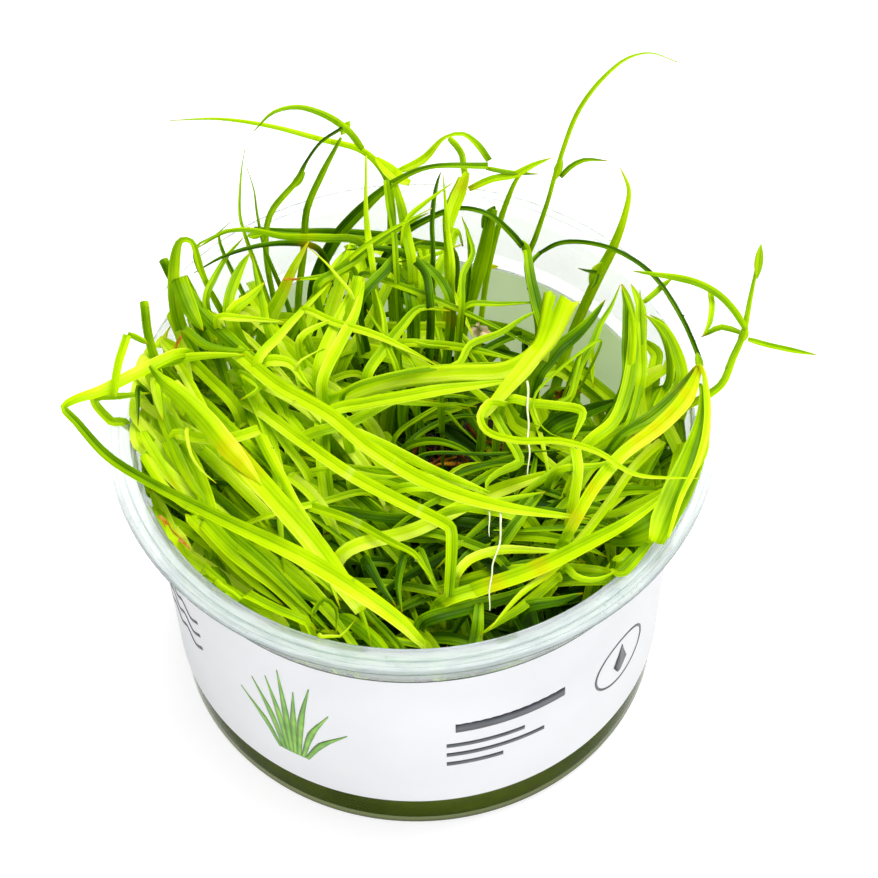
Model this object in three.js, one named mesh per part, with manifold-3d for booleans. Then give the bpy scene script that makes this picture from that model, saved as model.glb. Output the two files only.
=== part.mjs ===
// Lesser creeping rush raised from tissue culture, standing in its clear culture cup.
// Millimetres, +Z up. The origin is the middle of the cup's flat base.

import * as THREE from "three";
import { mergeVertices } from "three/addons/utils/BufferGeometryUtils.js";
import Module from "manifold-3d";

const wasm = await Module();
wasm.setup();

// The cup, which widens from its base to a shoulder and ends in a flat flange with a rolled lip.
const CUP_HEIGHT = 61.5;
const RIM_RADIUS = 50;
const MOUTH_RADIUS = 45.6;
const BASE_RADIUS = 41;
const BASE_CORNER = 1.5;
const WALL_TAPER = 0.047;
const WALL = 0.8;
const CUP_FLOOR = 1;
const SHOULDER_HEIGHT = 49.4;
const SHOULDER_RISE = 1.6;
const SHOULDER_STEP = 1.9;
const FLANGE = 0.9;
const LIP_DROP = 1.5;
const LIP_WIDTH = 0.8;
const ROUND_STEPS = 40;

// The printed sleeve round the wall, the gel in the bottom and the roots on it.
const LABEL_BOTTOM = 9.2;
const LABEL_TOP = 48.6;
const LABEL = 0.25;
const GAP = 0.3;
const GEL_TOP = 12;
const ROOT_TOP = 19;
const ROOT_UNEVENNESS = 1.2;

// The tufts of plantlets stand round an open well, which is off the middle.
const TUFTS = 8;
const WELL = { x: 13, y: 11, across: 17, deep: 9 };
const TUFT_GAP_ANGLE = THREE.MathUtils.degToRad(1.6);
const TUFT_TOP_FRONT = 53;
const TUFT_TOP_BACK = 43;
const TUFT_CROWN = 9;
const TUFT_INNER_DROP = 5;
const BLADES = 7;
const BLADE_REACH = 19;
const BLADE_RISE = 10;
const BLADE_WIDTH = 2.6;

// The leaves are flat ribbons, thin at the edge and narrow towards the tip.
const LEAF_THICKNESS = 0.7;
const TIP_WIDTH = 0.5;
const TIP_SHARE = 0.35;
const STEPS_A_POINT = 2;
const LIFT_STEP = 0.6;
const LIFT_MOST = 12;

// Each leaf's route was read by eye from one picture of the plant: column and row in its frame
// of 878 pixels, with the height over the base in millimetres as the third value. The picture
// looks down on the cup from the front.
const PICTURE = { middle: 439, focal: 3638, distance: 600, elevation: 53.29, roll: -1.18 };
const PICTURE_TARGET = new THREE.Vector3(4.26, 0, 54.76);

const YELLOW_GREEN = 0xb9e000;
const LEAF_GREEN = 0x8cc400;
const DEEP_GREEN = 0x3f7f0a;

const LEAVES = [
  { name: "hollow_arch_leaf", width: 1.3, route: [[394, 470, 50], [408, 446, 58], [438, 441, 61],
    [466, 451, 60], [487, 471, 58], [492, 490, 54]] },
  { name: "tall_arch_leaf", width: 1.6, taper: 0.6, route: [[538, 335, 42], [533, 300, 50],
    [527, 262, 59], [536, 236, 66], [548, 200, 75], [557, 168, 83], [580, 108, 98],
    [604, 77, 104], [628, 58, 107], [650, 53, 107.5], [677, 62, 105]] },
  { name: "tall_side_leaf", width: 0.9, taper: 0.6, route: [[561, 177, 83], [570, 167, 85],
    [584, 160, 86.5], [608, 161, 87]] },
  { name: "bright_stem", width: 1.5, cut: true, route: [[443, 372, 42], [447, 335, 50],
    [450, 292, 59], [448, 245, 67], [447, 212, 73], [462, 178, 79]] },
  { name: "thick_stem", width: 2.0, cut: true, route: [[462, 340, 44], [471, 304, 52],
    [480, 268, 60], [487, 236, 67], [492, 209, 73]] },
  { name: "pale_stem", width: 1.3, route: [[486, 282, 50], [497, 232, 61], [506, 204, 68.5],
    [519, 176, 76.5], [535, 163, 80.5], [552, 158, 82]] },
  { name: "long_left_leaf", width: 1.8, taper: 0.8, route: [[394, 282, 46], [392, 240, 58],
    [391, 205, 70], [385, 174, 80], [362, 150.5, 86.5], [320, 139, 91], [270, 126, 93.5],
    [220, 119, 93.5], [170, 120.5, 91]] },
  { name: "left_arch_leaf", width: 1.2, taper: 0.6, route: [[362, 146, 88], [346, 129, 93.5],
    [325, 115, 97], [298, 107, 98.5], [274, 112, 98], [254, 131, 94]] },
  { name: "left_dark_stem", width: 1, cut: true, color: DEEP_GREEN, route: [[277, 304, 48],
    [266, 250, 61], [271, 213, 71], [298, 179, 80], [305, 164, 83.5], [321, 142, 89.5],
    [342, 128, 94]] },
  { name: "left_green_stem", width: 1.4, cut: true, route: [[298, 314, 48], [304, 248, 61],
    [307, 210, 71], [322, 174, 81], [341, 138, 91]] },
  { name: "mid_arch_leaf", width: 1.4, cut: true, route: [[394, 173, 81.5], [422, 160, 85],
    [446, 137, 91], [463, 134, 92], [478, 145, 90], [489, 160, 87]] },
  { name: "dark_arch_leaf", width: 1.6, cut: true, color: DEEP_GREEN, route: [[312, 292, 49],
    [333, 243, 64], [362, 209, 73], [398, 180, 81], [430, 167, 84.5], [488, 166, 85]] },
  { name: "left_cross_leaf", width: 1.4, route: [[376, 285, 49], [360, 243, 62],
    [323, 238, 69], [281, 236, 72.5], [252, 230, 75], [228, 231, 75], [196, 249, 71]] },
  { name: "dark_left_blade", width: 1.1, color: DEEP_GREEN, route: [[334, 304, 50],
    [318, 249, 66], [285, 243, 71], [252, 247, 72.5], [222, 257, 72], [194, 273, 69]] },
  { name: "left_spike", width: 1, taper: 0.8, route: [[290, 312, 48], [264, 246, 68],
    [257, 213, 77], [254, 190, 82.5], [247, 168, 87]] },
  { name: "left_folded_leaf", width: 2.1, route: [[210, 378, 50], [177, 312, 63],
    [175, 262, 71], [182, 240, 76], [191, 241, 76], [202, 272, 70], [222, 318, 60]] },
  { name: "left_cut_leaf", width: 1.8, cut: true, route: [[228, 352, 50], [189, 303, 63],
    [173, 279, 68], [163, 259, 73]] },
  { name: "left_outer_leaf", width: 1.6, cut: true, route: [[192, 406, 50], [158, 364, 63],
    [149, 338, 67], [144, 301, 74]] },
  { name: "left_rising_leaf", width: 2.8, route: [[262, 360, 52], [269, 320, 62], [282, 294, 67],
    [295, 266, 72], [309, 241, 77]] },
  { name: "long_rising_leaf", width: 1.5, taper: 0.6, route: [[285, 360, 52], [301, 318, 63],
    [322, 288, 69], [347, 261, 74], [380, 236, 78], [432, 208, 82]] },
  { name: "mid_left_blade", width: 1.8, cut: true, route: [[312, 405, 52], [329, 372, 62],
    [341, 340, 67], [351, 308, 71], [358, 276, 75]] },
  { name: "back_cross_leaf", width: 1.2, route: [[372, 312, 54], [362, 275, 67],
    [400, 286, 70], [451, 306, 70], [500, 329, 69], [538, 350, 66]] },
  { name: "mid_dark_arch", width: 1.1, cut: true, color: DEEP_GREEN, route: [[372, 292, 48],
    [400, 237, 65], [430, 218, 71], [460, 208, 75], [488, 214, 75], [511, 233, 71],
    [522, 246, 68]] },
  { name: "curved_bright_leaf", width: 1.8, route: [[570, 340, 44], [600, 273, 60],
    [613, 248, 68], [625, 215, 76], [629, 190, 81], [620, 167, 86]] },
  { name: "right_dark_arch", width: 1, cut: true, color: DEEP_GREEN, route: [[538, 254, 66],
    [560, 243, 70], [590, 243, 73], [622, 253, 74], [654, 276, 73], [683, 320, 70],
    [699, 357, 67]] },
  { name: "bud_stem", width: 1.3, route: [[646, 432, 50], [684, 408, 64], [721, 385, 68],
    [733, 358, 72], [743, 335, 75.5], [750, 300, 81], [756, 270, 86], [760, 247, 90]] },
  { name: "right_upper_leaf", width: 1.2, route: [[746, 330, 78], [735, 312, 80],
    [719, 295, 81.5], [695, 282, 82.5], [633, 271, 82]] },
  { name: "right_low_leaf", width: 0.9, route: [[748, 339, 76], [768, 345, 75],
    [817, 355, 72]] },
  { name: "right_short_leaf", width: 1, route: [[740, 330, 77], [722, 327, 77],
    [701, 337, 75]] },
  { name: "right_arch_blade", width: 1.4, route: [[638, 398, 50], [668, 384, 63],
    [669, 358, 68], [661, 333, 72], [645, 314, 75]] },
  { name: "right_inner_leaf", width: 1.5, route: [[586, 450, 52], [603, 428, 62],
    [622, 398, 67], [632, 360, 72], [633, 322, 76], [621, 284, 80]] },
  { name: "right_wide_leaf", width: 3.8, cut: true, route: [[598, 540, 50], [630, 537, 62],
    [656, 524, 65.5], [677, 494, 66], [696, 455, 66], [705, 420, 67], [703, 388, 69]] },
  { name: "front_right_leaf", width: 2.6, route: [[448, 598, 52], [475, 590, 60.5],
    [530, 571, 63], [580, 547, 64.5], [630, 520, 65.5], [689, 475, 66]] },
  { name: "long_mid_leaf", width: 2.4, route: [[212, 345, 50], [232, 349, 64],
    [277, 385, 67], [330, 415, 68], [370, 448, 68], [432, 484, 67], [500, 506, 66],
    [590, 519, 63.5]] },
  { name: "upright_leaf", width: 1.7, cut: true, route: [[584, 556, 50], [569, 535, 60],
    [574, 500, 65], [578, 470, 67], [575, 447, 67.5]] },
  { name: "yellow_leaf", width: 2.9, cut: true, color: YELLOW_GREEN, route: [[546, 566, 50],
    [570, 530, 65], [594, 488, 70], [622, 455, 71], [660, 426, 71], [686, 398, 71],
    [700, 366, 71]] },
  { name: "torn_wide_blade", width: 3.6, cut: true, color: YELLOW_GREEN, route: [[300, 418, 52],
    [340, 398, 66], [390, 381, 69], [450, 374, 70.5], [508, 370, 71], [541, 350, 73],
    [562, 297, 79]] },
  { name: "looping_leaf", width: 1.2, taper: 0.5, route: [[507, 388, 70], [488, 403, 69.5],
    [480, 416, 69], [487, 431, 69], [516, 440, 69.5], [560, 441, 70.5], [600, 453, 71],
    [634, 474, 70], [700, 478.5, 68]] },
  { name: "left_mid_leaf", width: 1.9, route: [[244, 395, 52], [258, 430, 64], [278, 470, 67],
    [302, 512, 68], [332, 552, 67]] },
  { name: "front_left_leaf", width: 2.2, route: [[172, 478, 50], [194, 503, 61],
    [228, 535, 64], [270, 571, 64], [305, 606, 62], [334, 636, 59]] },
  { name: "jointed_leaf", width: 1.6, route: [[286, 500, 50], [315, 508, 63], [353, 521, 65],
    [392, 543, 65.5], [420, 560, 64], [444, 597, 59]] },
  { name: "kinked_leaf", width: 2.1, route: [[224, 400, 50], [250, 404, 63], [300, 440, 67],
    [351, 475, 68.5], [404, 503, 69], [441, 524, 69], [451, 542, 68], [449, 597, 63]] },
  { name: "wide_left_leaf", width: 3.2, color: YELLOW_GREEN, route: [[206, 420, 52],
    [192, 411, 66], [228, 447, 69.5], [274, 498, 71], [316, 546, 70], [341, 581, 68],
    [361, 611, 64]] },
  { name: "long_bent_leaf", width: 2.0, route: [[204, 374, 54], [180, 353, 70],
    [140, 371, 71], [100, 391, 71], [74, 400, 71], [64, 407, 70.5], [76, 421, 70],
    [108, 456, 69], [157, 486, 69], [223, 519, 70], [300, 556, 71], [353, 588, 70],
    [398, 620, 65], [426, 648, 58]] },
  { name: "left_bent_leaf", width: 1.4, cut: true, route: [[112, 387, 72.4], [119, 362, 74],
    [127, 335, 76]] },
];

const outerWall = (height) => BASE_RADIUS + WALL_TAPER * height;
const innerWall = (height) => outerWall(height) - WALL;

// Geometry helpers

function solidOf(geometry) {
  const bare = geometry.clone();
  bare.deleteAttribute("normal");
  bare.deleteAttribute("uv");
  const merged = mergeVertices(bare, 1e-3);
  return new wasm.Manifold(new wasm.Mesh({
    numProp: 3,
    vertProperties: merged.attributes.position.array,
    triVerts: new Uint32Array(merged.index.array),
  }));
}

function geometryOf(solid) {
  const made = solid.getMesh();
  const geometry = new THREE.BufferGeometry();
  geometry.setAttribute("position", new THREE.BufferAttribute(made.vertProperties, 3));
  geometry.setIndex(new THREE.BufferAttribute(made.triVerts, 1));
  geometry.computeVertexNormals();
  return geometry;
}

// Moves every vertex to the place that a function of its own place gives.
function reshape(geometry, place) {
  const positions = geometry.attributes.position;
  const point = new THREE.Vector3();
  for (let i = 0; i < positions.count; i += 1) {
    point.fromBufferAttribute(positions, i);
    place(point);
    positions.setXYZ(i, point.x, point.y, point.z);
  }
  return geometry;
}

function largestBody(solid) {
  return solid.decompose().reduce((best, body) => (body.volume() > best.volume() ? body : best));
}

// A turned body: the profile's points are radius and height, and it stands along Z.
function turned(profile) {
  const points = profile.map(([radius, height]) => new THREE.Vector2(radius, height));
  return new THREE.LatheGeometry(points, ROUND_STEPS).rotateX(Math.PI / 2);
}

// The picture's axes, with its roll, and the place of a pixel at a given height.
function pictureAxes() {
  const elevation = THREE.MathUtils.degToRad(PICTURE.elevation);
  const roll = THREE.MathUtils.degToRad(PICTURE.roll);
  const back = new THREE.Vector3(0, -Math.cos(elevation), Math.sin(elevation));
  const right = new THREE.Vector3(1, 0, 0).applyAxisAngle(back, roll);
  const up = new THREE.Vector3().crossVectors(back, right);
  const eye = PICTURE_TARGET.clone().addScaledVector(back, PICTURE.distance);
  return { back, right, up, eye };
}

const AXES = pictureAxes();

function seen([column, row, height]) {
  const ray = AXES.back.clone().negate();
  ray.addScaledVector(AXES.right, (column - PICTURE.middle) / PICTURE.focal);
  ray.addScaledVector(AXES.up, (PICTURE.middle - row) / PICTURE.focal);
  return AXES.eye.clone().addScaledVector(ray, (height - AXES.eye.z) / ray.z);
}

// The cup and what it holds

function cupGeometry() {
  const shoulderTop = SHOULDER_HEIGHT + SHOULDER_RISE;
  const flangeUnder = CUP_HEIGHT - FLANGE;
  const lipBottom = CUP_HEIGHT - LIP_DROP;
  return turned([
    [0, 0],
    [outerWall(0) - BASE_CORNER, 0],
    [outerWall(0) - 0.3 * BASE_CORNER, 0.3 * BASE_CORNER],
    [outerWall(BASE_CORNER), BASE_CORNER],
    [outerWall(SHOULDER_HEIGHT), SHOULDER_HEIGHT],
    [outerWall(shoulderTop) + SHOULDER_STEP, shoulderTop],
    [MOUTH_RADIUS + WALL, flangeUnder],
    [RIM_RADIUS - LIP_WIDTH, flangeUnder],
    [RIM_RADIUS - LIP_WIDTH, lipBottom],
    [RIM_RADIUS - 0.2, lipBottom],
    [RIM_RADIUS, lipBottom + 0.4],
    [RIM_RADIUS, CUP_HEIGHT - 0.5],
    [RIM_RADIUS - 0.5, CUP_HEIGHT],
    [MOUTH_RADIUS, CUP_HEIGHT],
    [innerWall(shoulderTop) + SHOULDER_STEP, shoulderTop + 0.3],
    [innerWall(SHOULDER_HEIGHT), SHOULDER_HEIGHT + 0.3],
    [innerWall(BASE_CORNER), CUP_FLOOR + BASE_CORNER],
    [innerWall(0) - BASE_CORNER, CUP_FLOOR],
    [0, CUP_FLOOR],
  ]);
}

function labelGeometry() {
  const inner = (height) => outerWall(height) + 0.2;
  return turned([
    [inner(LABEL_BOTTOM), LABEL_BOTTOM],
    [inner(LABEL_BOTTOM) + LABEL, LABEL_BOTTOM],
    [inner(LABEL_TOP) + LABEL, LABEL_TOP],
    [inner(LABEL_TOP), LABEL_TOP],
    [inner(LABEL_BOTTOM), LABEL_BOTTOM],
  ]);
}

function gelGeometry() {
  const bottom = CUP_FLOOR + GAP;
  return turned([
    [0, bottom],
    [innerWall(0) - BASE_CORNER - GAP, bottom],
    [innerWall(bottom + BASE_CORNER) - GAP, bottom + BASE_CORNER],
    [innerWall(GEL_TOP) - GAP, GEL_TOP],
    [0, GEL_TOP],
  ]);
}

function rootMatGeometry() {
  const bottom = GEL_TOP + GAP;
  const radius = innerWall(bottom) - GAP;
  const mat = turned([
    [0, bottom],
    [radius, bottom],
    [radius, ROOT_TOP - 1.5],
    [0.75 * radius, ROOT_TOP],
    [0.4 * radius, ROOT_TOP],
    [0, ROOT_TOP],
  ]);
  return reshape(mat, (point) => {
    if (point.z < bottom + 1) return;
    point.z += ROOT_UNEVENNESS * Math.sin(0.31 * point.x + 1) * Math.cos(0.27 * point.y - 2);
  });
}

// The tufts: a wedge of close-packed shoots between the well and the wall, with broad blades

// Height of the packed leaves at a place, from 0 at the well's edge to 1 at the wall.
function tuftTop(point, share) {
  const back = 0.5 + 0.5 * point.y / RIM_RADIUS;
  const atWall = THREE.MathUtils.lerp(TUFT_TOP_FRONT, TUFT_TOP_BACK, back);
  const crown = TUFT_CROWN * Math.sin(Math.PI * share);
  const lumps = 1.3 * Math.sin(0.42 * point.x) * Math.cos(0.37 * point.y + 1);
  return atWall + crown - TUFT_INNER_DROP * (1 - share) + lumps;
}

// The distance from the well's middle to the wall, in the direction of an angle.
function reachToWall(angle, radius) {
  const along = WELL.x * Math.cos(angle) + WELL.y * Math.sin(angle);
  const apart = WELL.x * WELL.x + WELL.y * WELL.y - radius * radius;
  return -along + Math.sqrt(along * along - apart);
}

function wellEdge(angle) {
  return 1 / Math.hypot(Math.cos(angle) / WELL.across, Math.sin(angle) / WELL.deep);
}

// A place in a tuft: angle round the well, share of the way out to the wall, and height.
function tuftPlace(angle, share, height, spare) {
  const inner = wellEdge(angle) - spare;
  const outer = reachToWall(angle, innerWall(height) - GAP + Math.min(spare, 0.2));
  const distance = THREE.MathUtils.lerp(inner, outer, share);
  return new THREE.Vector3(
    WELL.x + distance * Math.cos(angle), WELL.y + distance * Math.sin(angle), height);
}

// The wedge of shoots, made larger all round by the spare width where it is a cutter.
function tuftWedge(index, spare = 0) {
  const turn = (2 * Math.PI) / TUFTS;
  const from = index * turn + TUFT_GAP_ANGLE / 2;
  const span = turn - TUFT_GAP_ANGLE;
  const bottom = ROOT_TOP + ROOT_UNEVENNESS + GAP;
  return reshape(new THREE.BoxGeometry(1, 1, 1, 2, 3, 1), (point) => {
    const share = point.x + 0.5;
    const angle = from + span * (point.y + 0.5);
    if (point.z < 0) {
      point.copy(tuftPlace(angle, share, bottom, spare));
    } else {
      const flat = tuftPlace(angle, share, TUFT_TOP_BACK, spare);
      point.copy(tuftPlace(angle, share, tuftTop(flat, share) + spare, spare));
    }
  });
}

// A broad blade that leans from the tuft's top along the swirl of the plant.
function tuftBlade(index, blade) {
  const turn = (2 * Math.PI) / TUFTS;
  const share = 0.3 + 0.5 * ((blade * 0.37 + index * 0.21) % 1);
  const angle = (index + 0.2 + (0.6 * blade) / BLADES) * turn;
  const foot = tuftPlace(angle, share, 0, 0);
  const base = tuftTop(foot, share);
  const swirl = angle + Math.PI / 2 + 0.9 * Math.sin(3 * blade + index);
  const route = [-0.4, 0.3, 0.8, 1].map((rise, i) => {
    const out = (BLADE_REACH * i) / 3;
    const height = base + rise * BLADE_RISE;
    const point = new THREE.Vector3(
      foot.x + out * Math.cos(swirl), foot.y + out * Math.sin(swirl), height);
    const far = Math.hypot(point.x, point.y) / (innerWall(height) - BLADE_WIDTH);
    return far > 1 ? new THREE.Vector3(point.x / far, point.y / far, height) : point;
  });
  return ribbon(route, { width: BLADE_WIDTH, steps: 5 });
}

// The leaves

// How wide a leaf is at a share of its length: full from the foot, then drawn in to the tip.
function widthAt(share, { width, taper = TIP_SHARE, cut = false }) {
  if (cut) return width;
  const left = Math.min(1, (1 - share) / taper);
  return Math.max(TIP_WIDTH, width * Math.sqrt(left));
}

// A flat strip along a route, with its face turned to the picture's eye.
function ribbon(points, options, spare = 0) {
  const curve = new THREE.CatmullRomCurve3(points, false, "centripetal");
  const steps = options.steps || STEPS_A_POINT * (points.length - 1);
  const strip = new THREE.BoxGeometry(1, 1, 1, 1, 1, steps);
  return reshape(strip, (point) => {
    const share = point.z + 0.5;
    const middle = curve.getPoint(share);
    const along = curve.getTangent(share);
    const side = new THREE.Vector3().crossVectors(along, AXES.back).normalize();
    const face = new THREE.Vector3().crossVectors(along, side).normalize();
    const width = Math.min(widthAt(share, options), bendRoom(curve, share, side)) + spare;
    const thickness = LEAF_THICKNESS + spare;
    const [across, deep] = [point.x * width, point.y * thickness];
    point.copy(middle).addScaledVector(side, across).addScaledVector(face, deep);
  });
}

// The widest that a strip may be where its route bends sideways, so that it doesn't fold over.
function bendRoom(curve, share, side) {
  const before = Math.max(0, share - 0.02);
  const after = Math.min(1, share + 0.02);
  const change = curve.getTangent(after).sub(curve.getTangent(before));
  const length = curve.getPoint(after).distanceTo(curve.getPoint(before));
  return Math.max(TIP_WIDTH, (1.8 * length) / Math.abs(change.dot(side)));
}

// Raises a leaf little by little, all but its foot, until it clears all that is placed already,
// so that leaves that cross lie one over the other and cover the same place in the picture.
function clearLeaf(leaf, placed) {
  for (let lift = 0; lift < LIFT_MOST; lift += LIFT_STEP) {
    const points = leaf.route.map(([column, row, height]) => seen([column, row, height + lift]));
    points[0].z -= lift;
    const room = solidOf(ribbon(points, leaf, 2 * GAP));
    if (placed.every((other) => room.intersect(other).isEmpty())) {
      return solidOf(ribbon(points, leaf));
    }
  }
  throw new Error(leaf.name + " has no clear place");
}

// The whole plant in its cup

function named(name, geometry, color, roughness, extra = {}) {
  const material = new THREE.MeshStandardMaterial({ color, roughness, metalness: 0, ...extra });
  const mesh = new THREE.Mesh(geometry, material);
  mesh.name = name;
  return mesh;
}

const rush = new THREE.Group();
const clearPlastic = { transparent: true, opacity: 0.35 };
rush.add(named("cup", cupGeometry(), 0xe6eef0, 0.15, clearPlastic));
rush.add(named("label", labelGeometry(), 0xf2f3f5, 0.4));
rush.add(named("growth_gel", gelGeometry(), 0x4f5c20, 0.3));
rush.add(named("root_mat", rootMatGeometry(), 0x4a3a1c, 0.9));

const placed = [solidOf(cupGeometry())];
const cutters = [];
for (let i = 0; i < TUFTS; i += 1) cutters.push(solidOf(tuftWedge(i, GAP)));

for (const leaf of LEAVES) {
  const solid = clearLeaf(leaf, placed);
  placed.push(solid);
  const shown = cutters.reduce((rest, cutter) => rest.subtract(cutter), solid);
  rush.add(named(leaf.name, geometryOf(largestBody(shown)), leaf.color || LEAF_GREEN, 0.45));
}

for (let i = 0; i < TUFTS; i += 1) {
  let tuft = solidOf(tuftWedge(i));
  for (let blade = 0; blade < BLADES; blade += 1) {
    const solid = solidOf(tuftBlade(i, blade));
    if (placed.every((other) => solid.intersect(other).isEmpty())) tuft = tuft.add(solid);
  }
  rush.add(named("leaf_tuft_" + (i + 1), geometryOf(tuft), LEAF_GREEN, 0.5));
}

export default rush;
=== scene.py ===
"""Lesser creeping rush raised from tissue culture, growing in its clear plastic cup."""

import math

import bpy
import numpy as np
from mathutils import Matrix, Vector


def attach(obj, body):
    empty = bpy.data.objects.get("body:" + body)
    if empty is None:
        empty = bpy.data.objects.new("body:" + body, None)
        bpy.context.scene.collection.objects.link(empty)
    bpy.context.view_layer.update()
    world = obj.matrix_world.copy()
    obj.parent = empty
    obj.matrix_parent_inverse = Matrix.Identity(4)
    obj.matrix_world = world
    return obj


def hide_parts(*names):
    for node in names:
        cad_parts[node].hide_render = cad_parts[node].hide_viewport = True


bl_info = {
    "name": "Creeping Rush in a Culture Cup",
    "version": (1, 0, 0),
    "blender": (4, 5, 0),
    "location": "View3D > Sidebar > Rush",
    "description": "Builds the rush, its cup, its sleeve and its gel round the packed frame",
    "category": "Object",
}

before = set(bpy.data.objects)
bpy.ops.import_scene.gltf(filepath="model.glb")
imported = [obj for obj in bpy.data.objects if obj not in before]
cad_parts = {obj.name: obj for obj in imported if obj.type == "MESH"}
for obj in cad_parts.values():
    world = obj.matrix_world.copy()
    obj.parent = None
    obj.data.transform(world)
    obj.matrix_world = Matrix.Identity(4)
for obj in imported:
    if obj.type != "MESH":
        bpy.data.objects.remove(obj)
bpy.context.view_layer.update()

MM = 0.001

# The cup, in millimetres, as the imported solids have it.
CUP_HEIGHT = 61.5
RIM_RADIUS = 50.0
MOUTH_RADIUS = 45.6
BASE_RADIUS = 41.0
WALL_TAPER = 0.047
WALL = 0.8
CUP_FLOOR = 1.0
SHOULDER_HEIGHT = 49.4
LABEL_BOTTOM = 9.2
LABEL_TOP = 48.6
GEL_TOP = 12.0
ROOT_TOP = 19.0

# Shape of the visual shell: how high the shoulder is and how far it steps out, how thick the label
# is and how far it stands off, and how far the gel laps into the wall, so that no air shows there.
SHOULDER_RISE = 1.6
SHOULDER_STEP = 1.9
LABEL_GAP = 0.2
LABEL_THICKNESS = 0.25
INK_PROUD = 0.05
GEL_WETS = 0.02
SMOOTH_ANGLE = math.radians(40)

# The open well in the tangle: its middle, and half its width and depth. The tufts stand round it.
WELL = (13.0, 11.0)
WELL_HALF = (17.0, 9.0)
TUFTS = 8

# The tangle's surface: its highest leaves, how far their middles lie below it, and the low places,
# each with its direction, its spread and its drop, in full from some way off the axis.
TANGLE_TOP = 70.0
TANGLE_SINK = 1.5
LOW_PLACES = ((math.radians(48), math.radians(36), 24.0),
              (math.radians(130), math.radians(30), 10.0))
LOW_FROM = 30.0

# Every leaf: share of its width at the foot and how fast it widens, width and curve of its point,
# and the waves in its turn. A traced foot goes down and in from the first place that shows.
FOOT_WIDTH = 0.75
FOOT_SPREAD = 2.5
POINT_WIDTH = 0.12
POINT_CURVE = 0.6
TURN_WAVES = 2.3
FULL_TURN = 6.28
FOOT_BELOW = 56
FOOT_INWARD = 0.86
FOOT_DEPTH = 16
COARSE_SPACING = 1.5

# The traced and the finer leaves: how deeply they fold, how far they turn, and the drift of tone.
TRACED_KEEL = (0.08, 0.3)
TRACED_TURN = (0.05, 0.3)
TONE_DRIFT = 0.04

# Leaves of the tufts, in millimetres and radians: size, share of the tip, fold and turn, how far
# up and how unevenly they face, bow, places on the bow and beyond a kink as shares of the length,
# kink, how they rise, fall and dip, and how far in and back they root.
LEAF_LENGTH = (18, 44)
LEAF_WIDTH = (1.1, 2.7)
LEAF_TIP = (0.1, 0.3)
LEAF_KEEL = (0.1, 0.4)
LEAF_TURN = 0.5
FACE_UP = 0.6
FACE_SPREAD = 0.5
LEAF_BOW = 0.09
BOWED_PLACES = (-0.5, -0.2, 0.1)
BEYOND_KINK = 0.2
KINKED = 0.3
KINK_TURN = (0.3, 0.9)
KINK_LENGTH = 1.2
BACK_RISE = 9
TIP_FALL = 3
LEAF_DIP = (1, 5)
LAID_FOOT_INWARD = 0.88
LAID_FOOT_BACK = 2.5

# How deep they lie: the upper layers, crowded to the top by a power, the share of under layers,
# and the thinner part at the back, beyond a distance from the axis.
UPPER_LAYERS = 19
CROWDING = 1.5
UNDER_SHARE = 0.15
UNDER_LAYERS = (20, 36)
THIN_BEYOND = 12
THINNED = 0.45
LEAST_LEAVES = 10

# How they lie: reach in pixels and fall with distance of the parts of FLOW, spread in degrees, and
# how often a leaf takes a part's second angle.
FLOW_REACH = 15
FLOW_FALL = -3.0
FLOW_SPREAD = 9
SECOND_WAY = 0.36

# Their tone: at the top, its fall with each millimetre of depth, which is painted shade, its
# spread, its gain from the axis to the rim on each side, which is painted light, and in front
# painted shade, the share and the shift of yellowed and of darkened leaves, and the place of a
# painted shadow as column, row, width, height and shade.
TOP_TONE = 0.76
SHADE_PER_DEPTH = 0.032
TONE_SPREAD = 0.1
LEFT_PAINTED_LIGHT, RIGHT_PAINTED_LIGHT = -0.3, 0.12
FRONT_PAINTED_SHADE, BACK_PAINTED_LIGHT = 0.34, 0.15
YELLOWED, YELLOW_SHIFT = 0.12, 0.2
DARKENED, DARK_SHIFT = 0.16, 0.3
PAINTED_SHADOW = (480, 555, 120, 65, 0.3)

# Reach in pixels of the pale joints and of the golden spots. A joint's nearness shows from a share
# on. From the golden age on, a leaf turns to gold, and a spot is that much older in its middle.
JOINT_REACH = 4
JOINT_SHOWS = 0.1
GOLDEN_REACH = 9
GOLDEN_AGE = 0.97
GOLDEN_OLDER = 0.02

# How leaves pass the rim, in millimetres: from how far below its top on they are lifted over it,
# how far over it they lie, with a share of half their width, and how far in they keep from the
# mouth's edge. A tuft's leaf that lies higher than the rest reaches a little out over the rim.
LIFTED_BELOW = 4
OVER_RIM = 0.3
OVER_RIM_SHARE = 0.35
OFF_MOUTH = 0.3
TUFT_OFF_MOUTH = 0.4
TUFT_ABOVE = 0.7
TUFT_OUT = 0.5

# Dead leaves: share of the tip, thickness, fold and turn.
DEAD_TIP = 0.4
DEAD_THICKNESS = 0.3
DEAD_KEEL = 0.5
DEAD_TURN = 0.9

# Litter in the well: half the length of a piece, its width, tip, thickness, fold and tone, and the
# way that it faces. A white root wavers by a little, too.
LITTER_PIECES = 160
LITTER_HEIGHTS = (21, 31)
LITTER_HALF = (2, 6)
LITTER_WIDTH = (0.3, 1.0)
LITTER_TIP = 0.5
LITTER_THICKNESS = 0.25
LITTER_KEEL = 0.4
LITTER_TONE = (-0.15, 0.4)
LITTER_FACE = (0.1, -0.2, 1.0)
ROOT_WAVER = 0.12

# Water drops: the most to a leaf, the faces that one takes, how far up and how level its face is,
# its size, its sides and the rings of its dome as width and rise.
DROPS_PER_LEAF = 5
FACES_PER_DROP = 25
DROPS_BELOW = 75
DROP_FACING = 0.6
DROP_SIZE = (0.16, 0.36)
DROP_SIDES = 8
DROP_RINGS = ((0.9, -0.3), (1.0, 0.15), (0.65, 0.65))
DROP_CROWN = 0.85

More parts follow.
